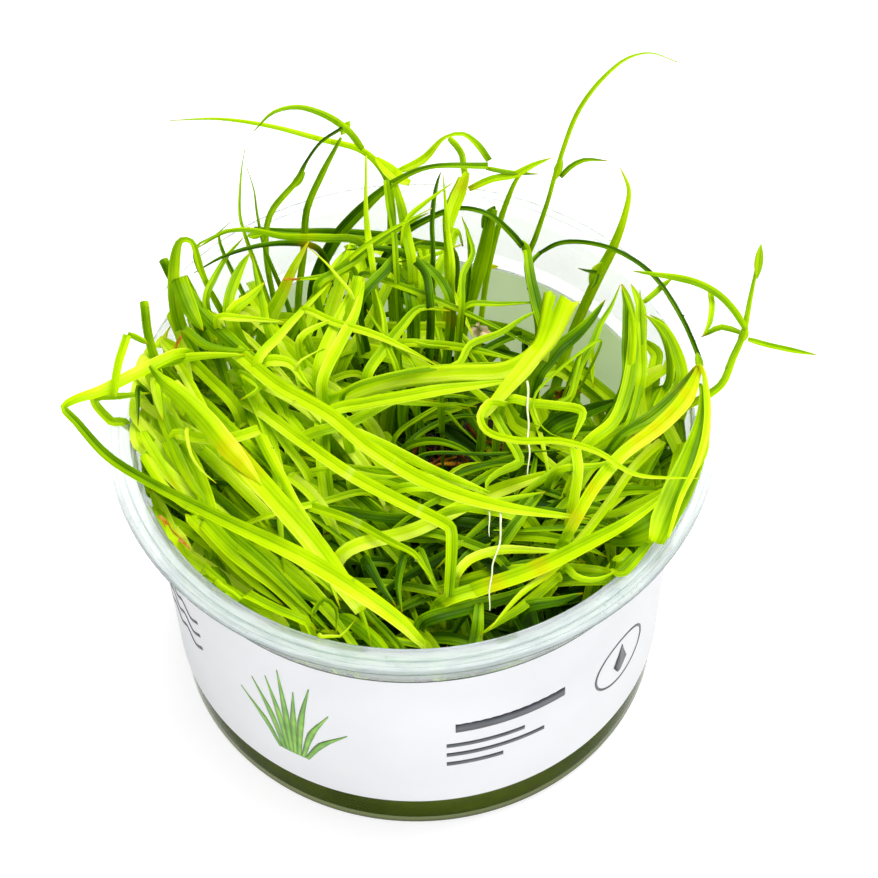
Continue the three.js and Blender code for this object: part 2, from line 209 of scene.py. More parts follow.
# The print on the sleeve, in degrees round from the front and millimetres: where the waves start,
# their steps and height, bars as left end, length, height and thickness, the bars at the back as
# start, middle, mean end, change of the end, first height and step, the drop in its ring, and the
# sprig's blades as lean and length.
WAVE_START = (-78, 36)
WAVE_STEPS = (3.5, 4)
WAVE_HEIGHT = 0.9
BACK_BARS = (168, 178, 196, 9, 41, 3.2)
FRONT_BARS = ((8, 26, 33, 2.6), (6, 18, 27.5, 1.1), (6, 23, 24.5, 1.1), (6, 13, 21.5, 1.1))
RING_MIDDLE = (52, 28)
RING_HALF = (8.5, 6.4)
PRINTED_DROP = ((52, 32.4), (52, 29), (52, 26), (52, 24.2))
SPRIG_FOOT = (-30, 17)
SPRIG = ((-13, 13), (-9, 19), (-5, 22), (-1.5, 26), (2, 21), (6, 24), (10, 17), (14, 12))

# The picture's view of the plant: a square frame of 878 pixels, from above and in front.
PICTURE_SIDE = 878
FOCAL_PIXELS = 3638.0
VIEW_DISTANCE = 600.0
VIEW_ELEVATION = math.radians(53.29)
VIEW_ROLL = math.radians(-1.18)
VIEW_TARGET = np.array((4.26, 0.0, 54.76))
SENSOR = 36.0

# The studio, in metres: the floor's side and how far it is under the cup, and the lights as name,
# place, size and share of the key light's power, with the point that they are turned to.
FLOOR_SIDE = 8
FLOOR_UNDER = 0.0002
LIGHTS = (("overhead_softbox", (0.15, 0.12, 0.75), 0.5, 1.0),
          ("front_softbox", (0.08, -0.7, 0.12), 0.35, 0.4))
LIT_POINT = (0, 0, 0.04)

# Height of the tangle's surface in millimetres at a row of the picture.
SURFACE_ROWS = (60, 120, 170, 240, 300, 400, 500, 640, 660)
SURFACE_HEIGHTS = (107, 92, 84, 74, 71, 68.5, 65, 59, 57)

# The leaves that stand for CAD nodes: node, width, share of the length that the tip takes (0 where
# the end is cut off), tone from deep green to yellow, darker with painted shade where the leaf
# lies in shade, and the route as column, row and height. A width or tone that changes along the
# leaf is given at each place of its route.
TRACED = (
    ("hollow_arch_leaf", 1.3, 0.35, 0.45, ((394, 470, 50), (408, 446, 58), (438, 441, 61),
     (466, 451, 60), (487, 471, 58), (492, 490, 54))),
    ("tall_arch_leaf", (1.05, 1.05, 1.0, 0.95, 0.9, 1.0, 1.45, 1.65, 1.55, 1.25, 1.0), 0.6, 0.55,
     ((538, 335, 42), (533, 300, 50), (527, 262, 59), (536, 236, 66), (548, 200, 75),
     (557, 168, 83), (580, 108, 98), (604, 77, 104), (628, 58, 107), (650, 53, 107.5),
     (677, 62, 105))),
    ("tall_side_leaf", 0.9, 0.6, 0.4, ((561, 177, 83), (570, 167, 85), (584, 160, 86.5),
     (608, 161, 87))),
    ("bright_stem", (2.1, 2.1, 1.9, 1.4, 1.2, 1.4), 0, (0.9, 0.9, 0.85, 0.7, 0.6, 0.6),
     ((443, 372, 42), (447, 335, 50), (450, 292, 59), (448, 245, 67), (447, 212, 73),
     (462, 178, 79))),
    ("thick_stem", (1.6, 1.7, 2.5, 2.2, 1.8), 0, (0.5, 0.5, 0.6, 0.5, 0.3), ((462, 340, 44),
     (471, 304, 52), (480, 268, 60), (487, 236, 67), (492, 209, 73))),
    ("pale_stem", 1.0, 0.35, 0.7, ((486, 282, 50), (497, 232, 61), (506, 204, 68.5),
     (519, 176, 76.5), (535, 163, 80.5), (552, 158, 82))),
    ("long_left_leaf", 1.8, 0.8, 0.6, ((394, 282, 46), (392, 240, 58), (391, 205, 70),
     (385, 174, 80), (362, 150.5, 86.5), (320, 139, 91), (270, 126, 93.5), (220, 119, 93.5),
     (170, 120.5, 91))),
    ("left_arch_leaf", 1.2, 0.6, 0.5, ((362, 146, 88), (346, 129, 93.5), (325, 115, 97),
     (298, 107, 98.5), (274, 112, 98), (254, 131, 94))),
    ("left_dark_stem", (1.0, 1.0, 1.1, 1.0, 0.5, 0.5, 0.6), 0, (0.7, 0.7, 0.6, 0.5, 0.15, 0.15,
     0.2), ((277, 304, 48), (266, 250, 61), (271, 213, 71), (298, 179, 80), (305, 164, 83.5),
     (321, 142, 89.5), (342, 128, 94))),
    ("left_green_stem", (1.2, 1.2, 1.2, 1.1, 0.5), 0, (0.65, 0.6, 0.5, 0.42, 0.4), ((298, 314, 48),
     (304, 248, 61), (307, 210, 71), (322, 174, 81), (341, 138, 91))),
    ("mid_arch_leaf", (1.0, 1.5, 0.6, 0.8, 1.1, 1.1), 0, (0.85, 0.8, 0.7, 0.5, 0.5, 0.4),
     ((394, 173, 81.5), (422, 160, 85), (446, 137, 91), (463, 134, 92), (478, 145, 90),
     (489, 160, 87))),
    ("dark_arch_leaf", (2.0, 2.2, 2.0, 1.1, 0.8, 1.2), 0, (0.3, 0.3, 0.3, 0.3, 0.3, 0.4),
     ((312, 292, 49), (333, 243, 64), (362, 209, 73), (398, 180, 81), (430, 167, 84.5),
     (488, 166, 85))),
    ("left_cross_leaf", 1.4, 0.35, 0.45, ((376, 285, 49), (360, 243, 62), (323, 238, 69),
     (281, 236, 72.5), (252, 230, 75), (228, 231, 75), (196, 249, 71))),
    ("dark_left_blade", 1.1, 0.35, 0.18, ((334, 304, 50), (318, 249, 66), (285, 243, 71),
     (252, 247, 72.5), (222, 257, 72), (194, 273, 69))),
    ("left_spike", 1.0, 0.8, 0.5, ((290, 312, 48), (264, 246, 68), (257, 213, 77),
     (254, 190, 82.5), (247, 168, 87))),
    ("left_folded_leaf", (2.0, 2.3, 1.9, 0.9, 0.9, 1.3, 1.4), 0.2, 0.66, ((210, 378, 50),
     (177, 312, 63), (175, 262, 71), (182, 240, 76), (191, 241, 76), (202, 272, 70),
     (222, 318, 60))),
    ("left_cut_leaf", 1.6, 0, 0.42, ((228, 352, 50), (189, 303, 63), (173, 279, 68),
     (163, 259, 73))),
    ("left_outer_leaf", 1.5, 0, 0.5, ((192, 406, 50), (158, 364, 63), (149, 338, 67),
     (144, 301, 74))),
    ("left_rising_leaf", 2.7, 0.4, 0.85, ((262, 360, 52), (269, 320, 62), (282, 294, 67),
     (295, 266, 72), (309, 241, 77))),
    ("long_rising_leaf", 1.5, 0.6, 0.7, ((285, 360, 52), (301, 318, 63), (322, 288, 69),
     (347, 261, 74), (380, 236, 78), (432, 208, 82))),
    ("mid_left_blade", 1.8, 0, 0.7, ((312, 405, 52), (329, 372, 62), (341, 340, 67),
     (351, 308, 71), (358, 276, 75))),
    ("back_cross_leaf", 1.2, 0.35, 0.5, ((372, 312, 54), (362, 275, 67), (400, 286, 70),
     (451, 306, 70), (500, 329, 69), (538, 350, 66))),
    ("mid_dark_arch", (1.4, 1.4, 1.1, 0.75, 0.9, 1.1, 1.1), 0, 0.2, ((372, 292, 48),
     (400, 237, 65), (430, 218, 71), (460, 208, 75), (488, 214, 75), (511, 233, 71),
     (522, 246, 68))),
    ("curved_bright_leaf", 1.8, 0.35, 0.75, ((570, 340, 44), (600, 273, 60), (613, 248, 68),
     (625, 215, 76), (629, 190, 81), (620, 167, 86))),
    ("right_dark_arch", 0.8, 0, 0.22, ((538, 254, 66), (560, 243, 70), (590, 243, 73),
     (622, 253, 74), (654, 276, 73), (683, 320, 70), (699, 357, 67))),
    ("bud_stem", 1.3, 0.35, 0.55, ((646, 432, 50), (684, 408, 64), (721, 385, 68), (733, 358, 72),
     (743, 335, 75.5), (750, 300, 81), (756, 270, 86), (760, 247, 90))),
    ("right_upper_leaf", 1.2, 0.35, 0.45, ((746, 330, 78), (735, 312, 80), (719, 295, 81.5),
     (695, 282, 82.5), (633, 271, 82))),
    ("right_low_leaf", 0.9, 0.35, 0.5, ((748, 339, 76), (768, 345, 75), (817, 355, 72))),
    ("right_short_leaf", 1.0, 0.35, 0.4, ((740, 330, 77), (722, 327, 77), (701, 337, 75))),
    ("right_arch_blade", 1.4, 0.35, 0.5, ((638, 398, 50), (668, 384, 63), (669, 358, 68),
     (661, 333, 72), (645, 314, 75))),
    ("right_inner_leaf", 1.5, 0.35, 0.6, ((586, 450, 52), (603, 428, 62), (622, 398, 67),
     (632, 360, 72), (633, 322, 76), (621, 284, 80))),
    ("right_wide_leaf", (2.0, 2.6, 4.6, 4.6, 3.2, 2.0, 0.8), 0, 0.45, ((598, 540, 50),
     (630, 537, 62), (656, 524, 65.5), (677, 494, 66), (696, 455, 66), (705, 420, 67),
     (703, 388, 69))),
    ("front_right_leaf", 2.5, 0.35, 0.66, ((448, 598, 52), (475, 590, 60.5), (530, 571, 63),
     (580, 547, 64.5), (630, 520, 65.5), (689, 475, 66))),
    ("long_mid_leaf", 2.4, 0.2, 0.78, ((212, 345, 50), (232, 349, 64), (277, 385, 67),
     (330, 415, 68), (370, 448, 68), (432, 484, 67), (500, 506, 66), (590, 519, 63.5))),
    ("upright_leaf", 1.7, 0, 0.75, ((584, 556, 50), (569, 535, 60), (574, 500, 65), (578, 470, 67),
     (575, 447, 67.5))),
    ("yellow_leaf", (1.4, 1.8, 2.0, 2.2, 2.5, 2.6, 0.9), 0, (0.7, 0.72, 0.76, 0.8, 0.84, 0.8,
     0.66), ((546, 566, 50), (570, 530, 65), (594, 488, 70), (622, 455, 71), (660, 426, 71),
     (686, 398, 71), (700, 366, 71))),
    ("torn_wide_blade", (1.6, 2.4, 3.0, 3.1, 3.0, 3.1, 6.2), 0, (0.8, 0.85, 0.88, 0.88, 0.88, 0.84,
     0.8), ((300, 418, 52), (340, 398, 66), (390, 381, 69), (450, 374, 70.5), (508, 370, 71),
     (541, 348, 73), (564, 294, 79))),
    ("looping_leaf", 1.2, 0.5, 0.75, ((507, 388, 70), (488, 403, 69.5), (480, 416, 69),
     (487, 431, 69), (516, 440, 69.5), (560, 441, 70.5), (600, 453, 71), (634, 474, 70),
     (700, 478.5, 68))),
    ("left_mid_leaf", 1.9, 0.35, 0.7, ((244, 395, 52), (258, 430, 64), (278, 470, 67),
     (302, 512, 68), (332, 552, 67))),
    ("front_left_leaf", 2.2, 0.35, 0.55, ((172, 478, 50), (194, 503, 61), (228, 535, 64),
     (270, 571, 64), (305, 606, 62), (334, 636, 59))),
    ("jointed_leaf", 1.6, 0.35, 0.7, ((286, 500, 50), (315, 508, 63), (353, 521, 65),
     (392, 542, 65.5), (412, 552, 65), (417, 557, 64.6), (444, 597, 59))),
    ("kinked_leaf", (2.1, 2.1, 2.1, 2.1, 2.1, 2.0, 1.9, 1.9, 1.6), 0, (0.8, 0.8, 0.78, 0.76, 0.74,
     0.66, 0.6, 0.56, 0.45), ((224, 400, 50), (250, 404, 63), (300, 440, 67), (351, 475, 68.5),
     (404, 503, 69), (446, 524, 69), (451, 529, 69), (452, 546, 68), (449, 597, 63))),
    ("wide_left_leaf", (1.4, 2.0, 3.4, 3.4, 3.4, 3.2, 2.0), 0, (0.4, 0.5, 0.85, 0.72, 0.75, 0.82,
     0.9), ((206, 420, 52), (192, 411, 66), (228, 447, 69.5), (274, 498, 71), (316, 546, 70),
     (341, 581, 68), (361, 611, 64))),
    ("long_bent_leaf", (1.4, 1.6, 2.0, 1.8, 1.4, 1.2, 1.4, 1.6, 1.6, 2.1, 2.7, 2.8, 2.3, 1.2), 0,
     (0.7, 0.75, 0.9, 0.85, 0.7, 0.6, 0.4, 0.4, 0.4, 0.6, 0.75, 0.8, 0.85, 0.9), ((204, 374, 54),
     (180, 353, 70), (140, 371, 71), (100, 391, 71), (74, 400, 71), (64, 407, 70.5), (76, 421, 70),
     (108, 456, 69), (157, 486, 69), (223, 519, 70), (300, 556, 71), (353, 588, 70),
     (398, 620, 65), (426, 648, 58))),
    ("left_bent_leaf", 1.4, 0, 0.7, ((112, 387, 72.4), (119, 362, 74), (127, 335, 76))),
)
# The torn end takes the last rings of its leaf. The lifts are those that the CAD tries on a leaf.
TORN_RINGS = 8
LIFT_STEP = 0.6
LIFT_STEPS = 20

# Leaves between these that are too fine for the CAD: width, tip share, tone (with painted shade as
# above), millimetres over the tangle's surface, and the route as column and row. Each has a foot
# down in the tangle.
FINER = (
    # Back left
    ((1.1, 1.1, 0.8, 0.5, 0.4), 0, 0.75, 1, ((372, 262), (368, 235), (366, 205), (366, 180),
     (366, 156))),
    ((1.0, 1.0, 1.1, 1.0), 0, 0.5, 1, ((396, 262), (394, 232), (389, 205), (386, 180))),
    ((1.7, 1.7, 1.6, 1.0), 0, 0.62, 1, ((412, 262), (406, 232), (401, 205), (394, 182))),
    ((2.0, 1.9, 1.6, 1.4), 0, (0.45, 0.3, 0.3, 0.5), 1, ((545, 335), (538, 308), (531, 278),
     (527, 250))),
    (1.1, 0.5, 0.7, 1, ((452, 262), (449, 240), (446, 210), (443, 174))),
    ((1.2, 1.6, 2.0, 1.7, 1.3, 0.8), 0, 0.34, -8, ((452, 251), (420, 244), (380, 237), (330, 233),
     (290, 232), (254, 229))),
    (1.4, 0.3, 0.18, 1, ((430, 300), (424, 270), (403, 253), (377, 248), (345, 250))),
    (1.8, 0.3, 0.3, 0, ((360, 300), (385, 270), (400, 252), (425, 240))),
    (2.2, 0.3, 0.35, -2, ((412, 306), (405, 280), (385, 262), (366, 258))),
    (1.6, 0.3, 0.4, -1, ((450, 300), (436, 275), (420, 262), (398, 262))),
    (1.4, 0.3, 0.45, 1, ((318, 284), (330, 275), (352, 262), (378, 243), (405, 225), (428, 213))),
    (1.1, 0.3, 0.5, 1, ((462, 304), (463, 274), (473, 253), (468, 233), (462, 217))),
    (1.0, 0.3, 0.55, 0, ((466, 306), (500, 304), (540, 302))),
    (0.9, 0.3, 0.7, 2, ((406, 222), (425, 203), (440, 192), (452, 183))),
    (1.6, 0.4, 0.8, 1, ((257, 363), (280, 335), (305, 308), (330, 283))),
    (1.2, 0.3, 0.5, 0, ((206, 300), (216, 275), (228, 255), (243, 238))),
    (1.3, 0.3, 0.55, 0, ((268, 330), (262, 300), (256, 275), (252, 255))),
    (0.8, 0.7, 0.55, 0, ((243, 228), (240, 215), (240, 190), (242, 165), (245, 149))),
    (0.8, 0.2, 0.2, 0, ((433, 250), (432, 225), (434, 200), (438, 180), (441, 172))),
    (0.8, 0.2, 0.25, 0, ((470, 250), (467, 230), (462, 218))),
    (0.8, 0.7, 0.4, 1, ((195, 249), (216, 235), (230, 222))),
    (0.8, 0.7, 0.4, 1, ((220, 233), (235, 229), (250, 227))),
    (1.8, 0.2, 0.6, 0, ((228, 310), (240, 269), (250, 253))),
    (2.2, 0.3, 0.7, 1, ((232, 312), (250, 297), (265, 282))),
    (2.8, 0.2, 0.45, 0, ((179, 278), (191, 310), (203, 331))),
    (1.5, 0.5, 0.6, 0, ((350, 268), (340, 273), (320, 277), (300, 279), (284, 280))),
    (0.8, 0.5, 0.85, 2, ((350, 292), (342, 282), (326, 263), (308, 247))),
    (1.9, 0.3, 0.8, 1, ((322, 384), (340, 343), (355, 314), (365, 278))),
    (1.9, 0.3, 0.8, 0, ((318, 371), (334, 327), (355, 282))),
    (1.0, 0.3, 0.6, 0, ((397, 369), (387, 343), (383, 314), (373, 282))),
    (1.3, 0.3, 0.8, 1, ((303, 310), (334, 322), (375, 335), (406, 349), (440, 367))),
    (0.8, 0.3, 0.6, 0, ((416, 369), (408, 357), (383, 333), (367, 310))),
    (1.8, 0.3, 0.55, 0, ((367, 376), (381, 353), (401, 327), (420, 308), (450, 311))),
    (1.0, 0.3, 0.6, 0, ((403, 343), (428, 346), (450, 347))),
    (1.4, 0.3, 0.65, 0, ((400, 345), (430, 344), (460, 347), (485, 352), (505, 357), (520, 360))),
    (1.2, 0.3, 0.65, 1, ((445, 372), (460, 363), (470, 345), (500, 333), (523, 318), (541, 309))),
    (0.8, 0.3, 0.6, -8, ((396, 436), (420, 417), (447, 404), (477, 407))),
    (0.5, 0.3, 0.5, -14, ((446, 412), (460, 427), (477, 443), (484, 452))),
    (0.8, 0.3, 0.8, -4, ((448, 476), (462, 466), (482, 462))),
    (0.8, 0.3, 0.5, -10, ((410, 402), (436, 396), (470, 398), (500, 408))),
    (1.0, 0.3, 0.35, -16, ((400, 455), (425, 430), (462, 416), (500, 420))),
    (0.9, 0.3, 0.45, 2, ((345, 392), (400, 373), (452, 366), (510, 362))),
    # Left
    ((0.6, 2.0, 2.8, 3.3, 3.4, 2.2, 0.3), 0, (0.45, 0.5, 0.6, 0.7, 0.85, 0.85, 0.8), 5.5,
     ((150, 366), (160, 378), (182, 396), (206, 420), (228, 447), (245, 466), (262, 486))),
    (1.6, 0.3, 0.7, 0, ((150, 370), (175, 360), (200, 356), (225, 355), (245, 355))),
    (1.3, 0.3, 0.85, 1, ((218, 318), (240, 318), (265, 320), (285, 322))),
    (1.5, 0.3, 0.5, 0, ((185, 330), (205, 345), (230, 350), (255, 350))),
    (2.4, 0.3, 0.35, -1, ((180, 285), (200, 310), (225, 335), (245, 352), (280, 380))),
    (1.2, 0.3, 0.8, 1, ((300, 338), (320, 325), (338, 318))),
    (2.0, 0.3, 0.8, 0, ((263, 363), (289, 363), (303, 380), (314, 392))),
    (0.5, 0.3, 0.95, 1, ((297, 365), (314, 353), (326, 347))),
    (1.2, 0.2, 0.6, 0, ((240, 373), (259, 388), (240, 400))),
    (1.5, 0.2, 0.85, 1, ((155, 378), (158, 400), (163, 420))),
    (2.6, 0.2, 0.9, 2, ((171, 384), (190, 403), (208, 420))),
    (1.7, 0.3, 0.6, 0, ((154, 372), (157, 395), (163, 420), (175, 450), (190, 480), (205, 500),
     (225, 522))),
    (1.6, 0.3, 0.75, -1, ((165, 440), (180, 465), (200, 492), (230, 520))),
    (1.6, 0.3, 0.7, 1, ((142, 432), (155, 454), (171, 479), (187, 499))),
    (1.6, 0.3, 0.75, 0, ((144, 454), (161, 483), (181, 503), (206, 520))),
    (2.0, 0.3, 0.65, 0, ((191, 517), (218, 546), (251, 581), (283, 605))),
    (2.6, 0.3, 0.65, 1, ((204, 520), (234, 552), (275, 585), (316, 630))),
    (1.8, 0.3, 0.35, 0, ((234, 536), (263, 560), (295, 591), (324, 605))),
    (1.0, 0.4, 0.6, 0, ((216, 583), (246, 603), (279, 613))),
    (0.8, 0.2, 0.45, 2, ((314, 611), (324, 599), (336, 609), (336, 634))),
    (0.8, 0.4, 0.95, 2, ((322, 640), (340, 636), (355, 620))),
    (0.9, 0.4, 0.6, 1, ((361, 611), (367, 626), (371, 644))),
    (1.0, 0.3, 0.2, 0, ((139, 387), (138, 405), (138, 426))),
    (0.7, 0.4, 1.0, 3, ((187, 428), (191, 454), (202, 471), (216, 483))),
    (1.8, 0, 0.8, 1, ((175, 434), (200, 438), (230, 438), (259, 430))),
    (1.5, 0.3, 0.55, 0, ((95, 398), (120, 396), (150, 393))),
    # Middle
    (2.0, 0.3, 0.8, 1, ((330, 412), (366, 403), (400, 397), (440, 390), (480, 385), (515, 380))),
    (1.6, 0.3, 0.7, 2, ((350, 432), (380, 443), (404, 455), (430, 468), (460, 480), (490, 492))),
    ((2.9, 2.8, 2.2, 1.3), 0, 0.86, 3, ((540, 350), (525, 368), (505, 390), (483, 416))),
    (0.5, 0.3, 0.6, 2, ((600, 340), (581, 352), (551, 377), (536, 393), (533, 407), (538, 422),
     (551, 434), (563, 438))),
    (0.5, 0.3, 0.6, 1, ((581, 352), (575, 377), (567, 399), (540, 403), (512, 401))),
    (1.5, 0.2, 0.7, 1, ((508, 399), (532, 403), (553, 405), (579, 409), (583, 413), (577, 430),
     (571, 442))),
    (1.5, 0.2, 0.6, 0, ((489, 407), (502, 428), (518, 454), (520, 462), (498, 473), (487, 483),
     (487, 491))),
    (0.6, 0.3, 0.2, -1, ((420, 456), (491, 454), (563, 450))),
    (1.2, 0.3, 0.9, 1, ((420, 473), (457, 483), (489, 495))),
    (1.4, 0.3, 0.7, 0, ((353, 475), (375, 477), (400, 477))),
    (1.6, 0.3, 0.6, 0, ((395, 490), (440, 488), (490, 505))),
    (1.3, 0.3, 0.65, 1, ((440, 515), (480, 505), (545, 492))),
    (2.0, 0.3, 0.35, 0, ((502, 544), (526, 511), (545, 491))),
    (1.2, 0.3, 0.65, 0, ((560, 470), (600, 465), (630, 452))),
    (3.0, 0.3, 0.15, -2, ((553, 426), (585, 412), (620, 399))),
    # Right
    (1.3, 0.3, 0.5, 0, ((628, 425), (635, 405), (640, 380), (641, 350), (640, 320), (640, 290))),
    (1.2, 0.3, 0.45, 0, ((674, 392), (679, 372), (679, 355), (672, 338), (662, 322), (650, 315))),
    (2.0, 0.2, (0.8, 0.7, 0.6, 0.5, 0.5), 2, ((589, 442), (613, 422), (625, 395), (633, 350),
     (630, 305))),
    (1.3, 0.3, 0.5, 0, ((560, 403), (568, 400), (574, 385), (580, 365), (592, 345), (600, 325),
     (612, 305), (620, 285))),
    (2.3, 0.3, 0.28, 0, ((540, 372), (548, 362), (560, 347), (575, 335), (590, 320), (605, 300))),
    (2.2, 0.15, 0.42, 1, ((627, 385), (628, 345), (628, 305), (622, 284))),
    (1.9, 0.15, 0.7, 0, ((640, 385), (641, 345), (640, 305), (631, 284))),
    (2.0, 0.3, 0.6, 1, ((682, 380), (677, 354), (664, 328), (647, 316))),
    (1.4, 0.3, 0.85, 2, ((661, 442), (634, 467), (610, 501), (583, 536), (551, 571), (522, 593),
     (489, 630))),
    ((0.7, 1.6, 3.0, 4.4, 4.4, 2.6), 0, (0.5, 0.4, 0.4, 0.45, 0.55, 0.6), 3, ((700, 385),
     (701, 415), (690, 455), (677, 490), (664, 522), (656, 543))),
    ((0.6, 1.1, 1.2, 1.1, 0.9, 0.5), 0, 0.82, 5, ((700, 366), (707, 398), (706, 430), (697, 463),
     (681, 497), (668, 538))),
    ((1.2, 2.2, 2.0, 0.8), 0, 0.3, 3, ((622, 434), (650, 418), (675, 396), (698, 366))),
    (1.8, 0.3, 0.5, 0, ((624, 571), (645, 548), (661, 528))),
    # Front
    ((2.2, 2.4, 2.2, 2.0, 1.8, 1.8, 1.6, 1.0), 0, 0.6, 1, ((444, 601), (498, 583), (551, 560),
     (577, 548), (624, 524), (665, 495), (702, 454), (706, 422))),
    (1.5, 0.3, 1.0, 2, ((459, 571), (469, 560), (498, 550), (534, 550), (569, 552))),
    (1.6, 0.3, 0.5, 0, ((420, 552), (430, 575), (440, 595))),
    (2.2, 0.3, 0.25, 0, ((426, 620), (469, 607), (518, 593), (559, 571))),
    (2.0, 0.3, 0.35, 0, ((477, 632), (481, 595), (487, 585))),
    (2.0, 0.3, 0.15, 0, ((530, 605), (556, 601), (583, 593))),
    (1.8, 0.3, 0.2, 0, ((352, 590), (378, 604), (402, 628), (418, 642))),
    (1.6, 0.3, 0.12, 0, ((366, 560), (380, 585), (396, 606))),
    (1.4, 0.3, 0.2, 0, ((404, 556), (398, 585), (402, 612))),
    (1.2, 0.3, 0.6, 1, ((567, 568), (575, 576), (590, 580), (605, 577), (617, 570))),
    (1.6, 0.3, 0.6, 0, ((557, 577), (540, 592), (520, 608), (502, 620), (480, 635))),
)

# Leaves that grow out of a stem or another leaf, as the rows above, with no foot of their own.
BRANCHES = (
    (1.1, 0, 0.5, 0, ((449, 138), (456, 145), (462, 155), (463, 165), (465, 175), (462, 190))),
    ((1.3, 2.3, 2.1, 1.2), 0, (0.6, 0.75, 0.85, 0.9), 0.3, ((467, 172), (459, 194), (452, 212),
     (448, 232))),
    (0.8, 0.5, 0.4, 0, ((486, 168), (514, 173), (539, 174))),
    (1.2, 0.4, 0.6, 0, ((469, 189), (492, 179), (514, 175), (533, 165), (551, 158))),
    (1.0, 0.3, 0.5, 0, ((644, 302), (655, 293), (663, 285), (672, 279))),
    (1.0, 0.4, 0.55, 9, ((710, 291), (712, 303), (711, 315), (708, 327), (703, 335))),
    (0.7, 0.8, 0.2, -8, ((597, 272), (588, 271), (578, 268))),
    (0.7, 0.8, 0.2, -8, ((598, 274), (595, 283), (590, 291))),
    (1.0, 0.3, 0.5, 3, ((128, 334), (140, 339), (148, 344))),
    ((1.0, 2.4, 2.2, 1.0), 0, 0.8, 0, ((376, 158), (388, 169), (397, 177), (410, 183))),
    (0.8, 0, 0.22, -7, ((529, 266), (533, 260), (540, 253))),
)

# Joints and buds, swollen in the middle: width, tone, and both ends as column, row and height.
JOINTS = (
    (1.4, 0.6, (697, 352, 67.5), (701, 372, 69)), (1.6, 0.4, (522, 240, 67), (530, 258, 64)),
    (1.5, 0.6, (341, 135, 92), (350, 121, 94)), (1.5, 0.5, (291, 189, 79), (305, 172, 82)),
    (1.5, 0.5, (247, 236, 75), (263, 234, 74)), (2.2, 0.75, (590, 285, 58), (602, 262, 64)),
    (1.6, 0.6, (739, 343, 74), (748, 329, 77)), (1.5, 0.6, (757, 279, 85), (761, 244, 91)),
    (1.5, 0.5, (555, 180, 80), (562, 158, 84)), (2.1, 0.25, (482, 228, 68), (495, 206, 73)),
)

# Places in the picture, as column and row, where a leaf's joint is pale or its skin is golden.
PALE_JOINTS = ((422, 512), (350, 474), (357, 524), (180, 430), (357, 603), (492, 493), (630, 469),
               (390, 466), (146, 378))
GOLDEN_SPOTS = ((495, 583), (540, 567), (591, 487), (577, 518), (640, 443), (656, 430), (673, 418),
                (688, 396), (226, 446), (238, 462), (249, 478), (179, 481), (467, 186), (447, 318),
                (286, 280), (308, 247), (700, 370))

# Openings in the tangle: column, row, half their width and height, and how high a leaf may reach.
GAPS = ((452, 440, 60, 31, 43), (578, 408, 36, 23, 43), (525, 300, 54, 31, 26),
        (617, 358, 24, 40, 32), (575, 606, 42, 18, 48), (505, 627, 44, 15, 54),
        (402, 606, 20, 20, 56), (320, 205, 130, 30, 58), (270, 270, 18, 22, 45),
        (232, 287, 10, 18, 45), (218, 308, 9, 10, 45), (308, 290, 9, 12, 45))

# White roots over the leaves: width, and the route as column, row and height.
ROOTS = (
    (0.45, ((527, 381, 71), (528, 401, 70), (528, 426, 69), (529, 454, 69), (528, 475, 68))),
    (0.4, ((495, 499, 69), (501, 518, 68.5), (499, 544, 67), (493, 565, 66), (491, 577, 65.5),
     (489, 611, 64))),
    (0.3, ((489, 510, 69), (489, 523, 68), (490, 536, 67))),
)

# Dead leaves and litter: width, tone from rust to straw, and the route.
DEAD = (
    (1.7, 0.3, ((556, 396, 47), (568, 389, 50), (581, 393, 48))),
    (2.6, 0.62, ((578, 430, 40), (598, 434, 42), (617, 443, 41))),
    (1.4, 0.25, ((585, 444, 40), (600, 440, 43), (612, 430, 42))),
    (2.1, 0.7, ((476, 328, 52), (484, 332, 54), (492, 336, 52))),
    (0.9, 0.45, ((159, 517, 62), (172, 531, 62), (190, 549, 62))),
    (1.1, 0.35, ((428, 464, 55), (438, 472, 57), (447, 481, 55))),
    (0.6, 0.4, ((181, 335, 70), (177, 345, 69), (175, 354, 68))),
    (0.5, 0.4, ((284, 280, 74), (292, 279, 73.5), (300, 279, 73))),
)

# The way that the leaves lie in parts of the picture: column, row, and two angles below the right.
FLOW = (
    (170, 320, 65, -62), (180, 420, 58, 38), (235, 500, 47, 30), (300, 585, 42, 60),
    (265, 415, 45, 18), (330, 470, 35, 20), (365, 545, 32, 62), (420, 615, 14, 70),
    (500, 610, -14, 76), (565, 565, -26, 78), (625, 520, -42, -18), (675, 450, -66, -45),
    (645, 365, -84, 60), (480, 530, -14, 16), (300, 300, -60, 14), (240, 300, -64, 20),
    (360, 300, 74, 14), (420, 265, -70, 22), (430, 340, 10, -34), (330, 390, 20, -20),
    (470, 250, 80, 60), (560, 480, -50, 10),
)


# Curves and places

def hex_linear(code):
    """An sRGB hex colour as linear red, green, blue and full alpha."""
    channels = [int(code[i:i + 2], 16) / 255 for i in (1, 3, 5)]
    linear = [c / 12.92 if c <= 0.04045 else ((c + 0.055) / 1.055) ** 2.4 for c in channels]
    return (*linear, 1.0)


def view_axes():
    """The picture's backward, right and upward directions, and the place of its eye."""
    back = np.array((0.0, -math.cos(VIEW_ELEVATION), math.sin(VIEW_ELEVATION)))
    level_right = np.array((1.0, 0.0, 0.0))
    level_up = np.cross(back, level_right)
    right = math.cos(VIEW_ROLL) * level_right + math.sin(VIEW_ROLL) * level_up
    up = np.cross(back, right)
    return back, right, up, VIEW_TARGET + back * VIEW_DISTANCE


VIEW_BACK, VIEW_RIGHT, VIEW_UP, VIEW_EYE = view_axes()


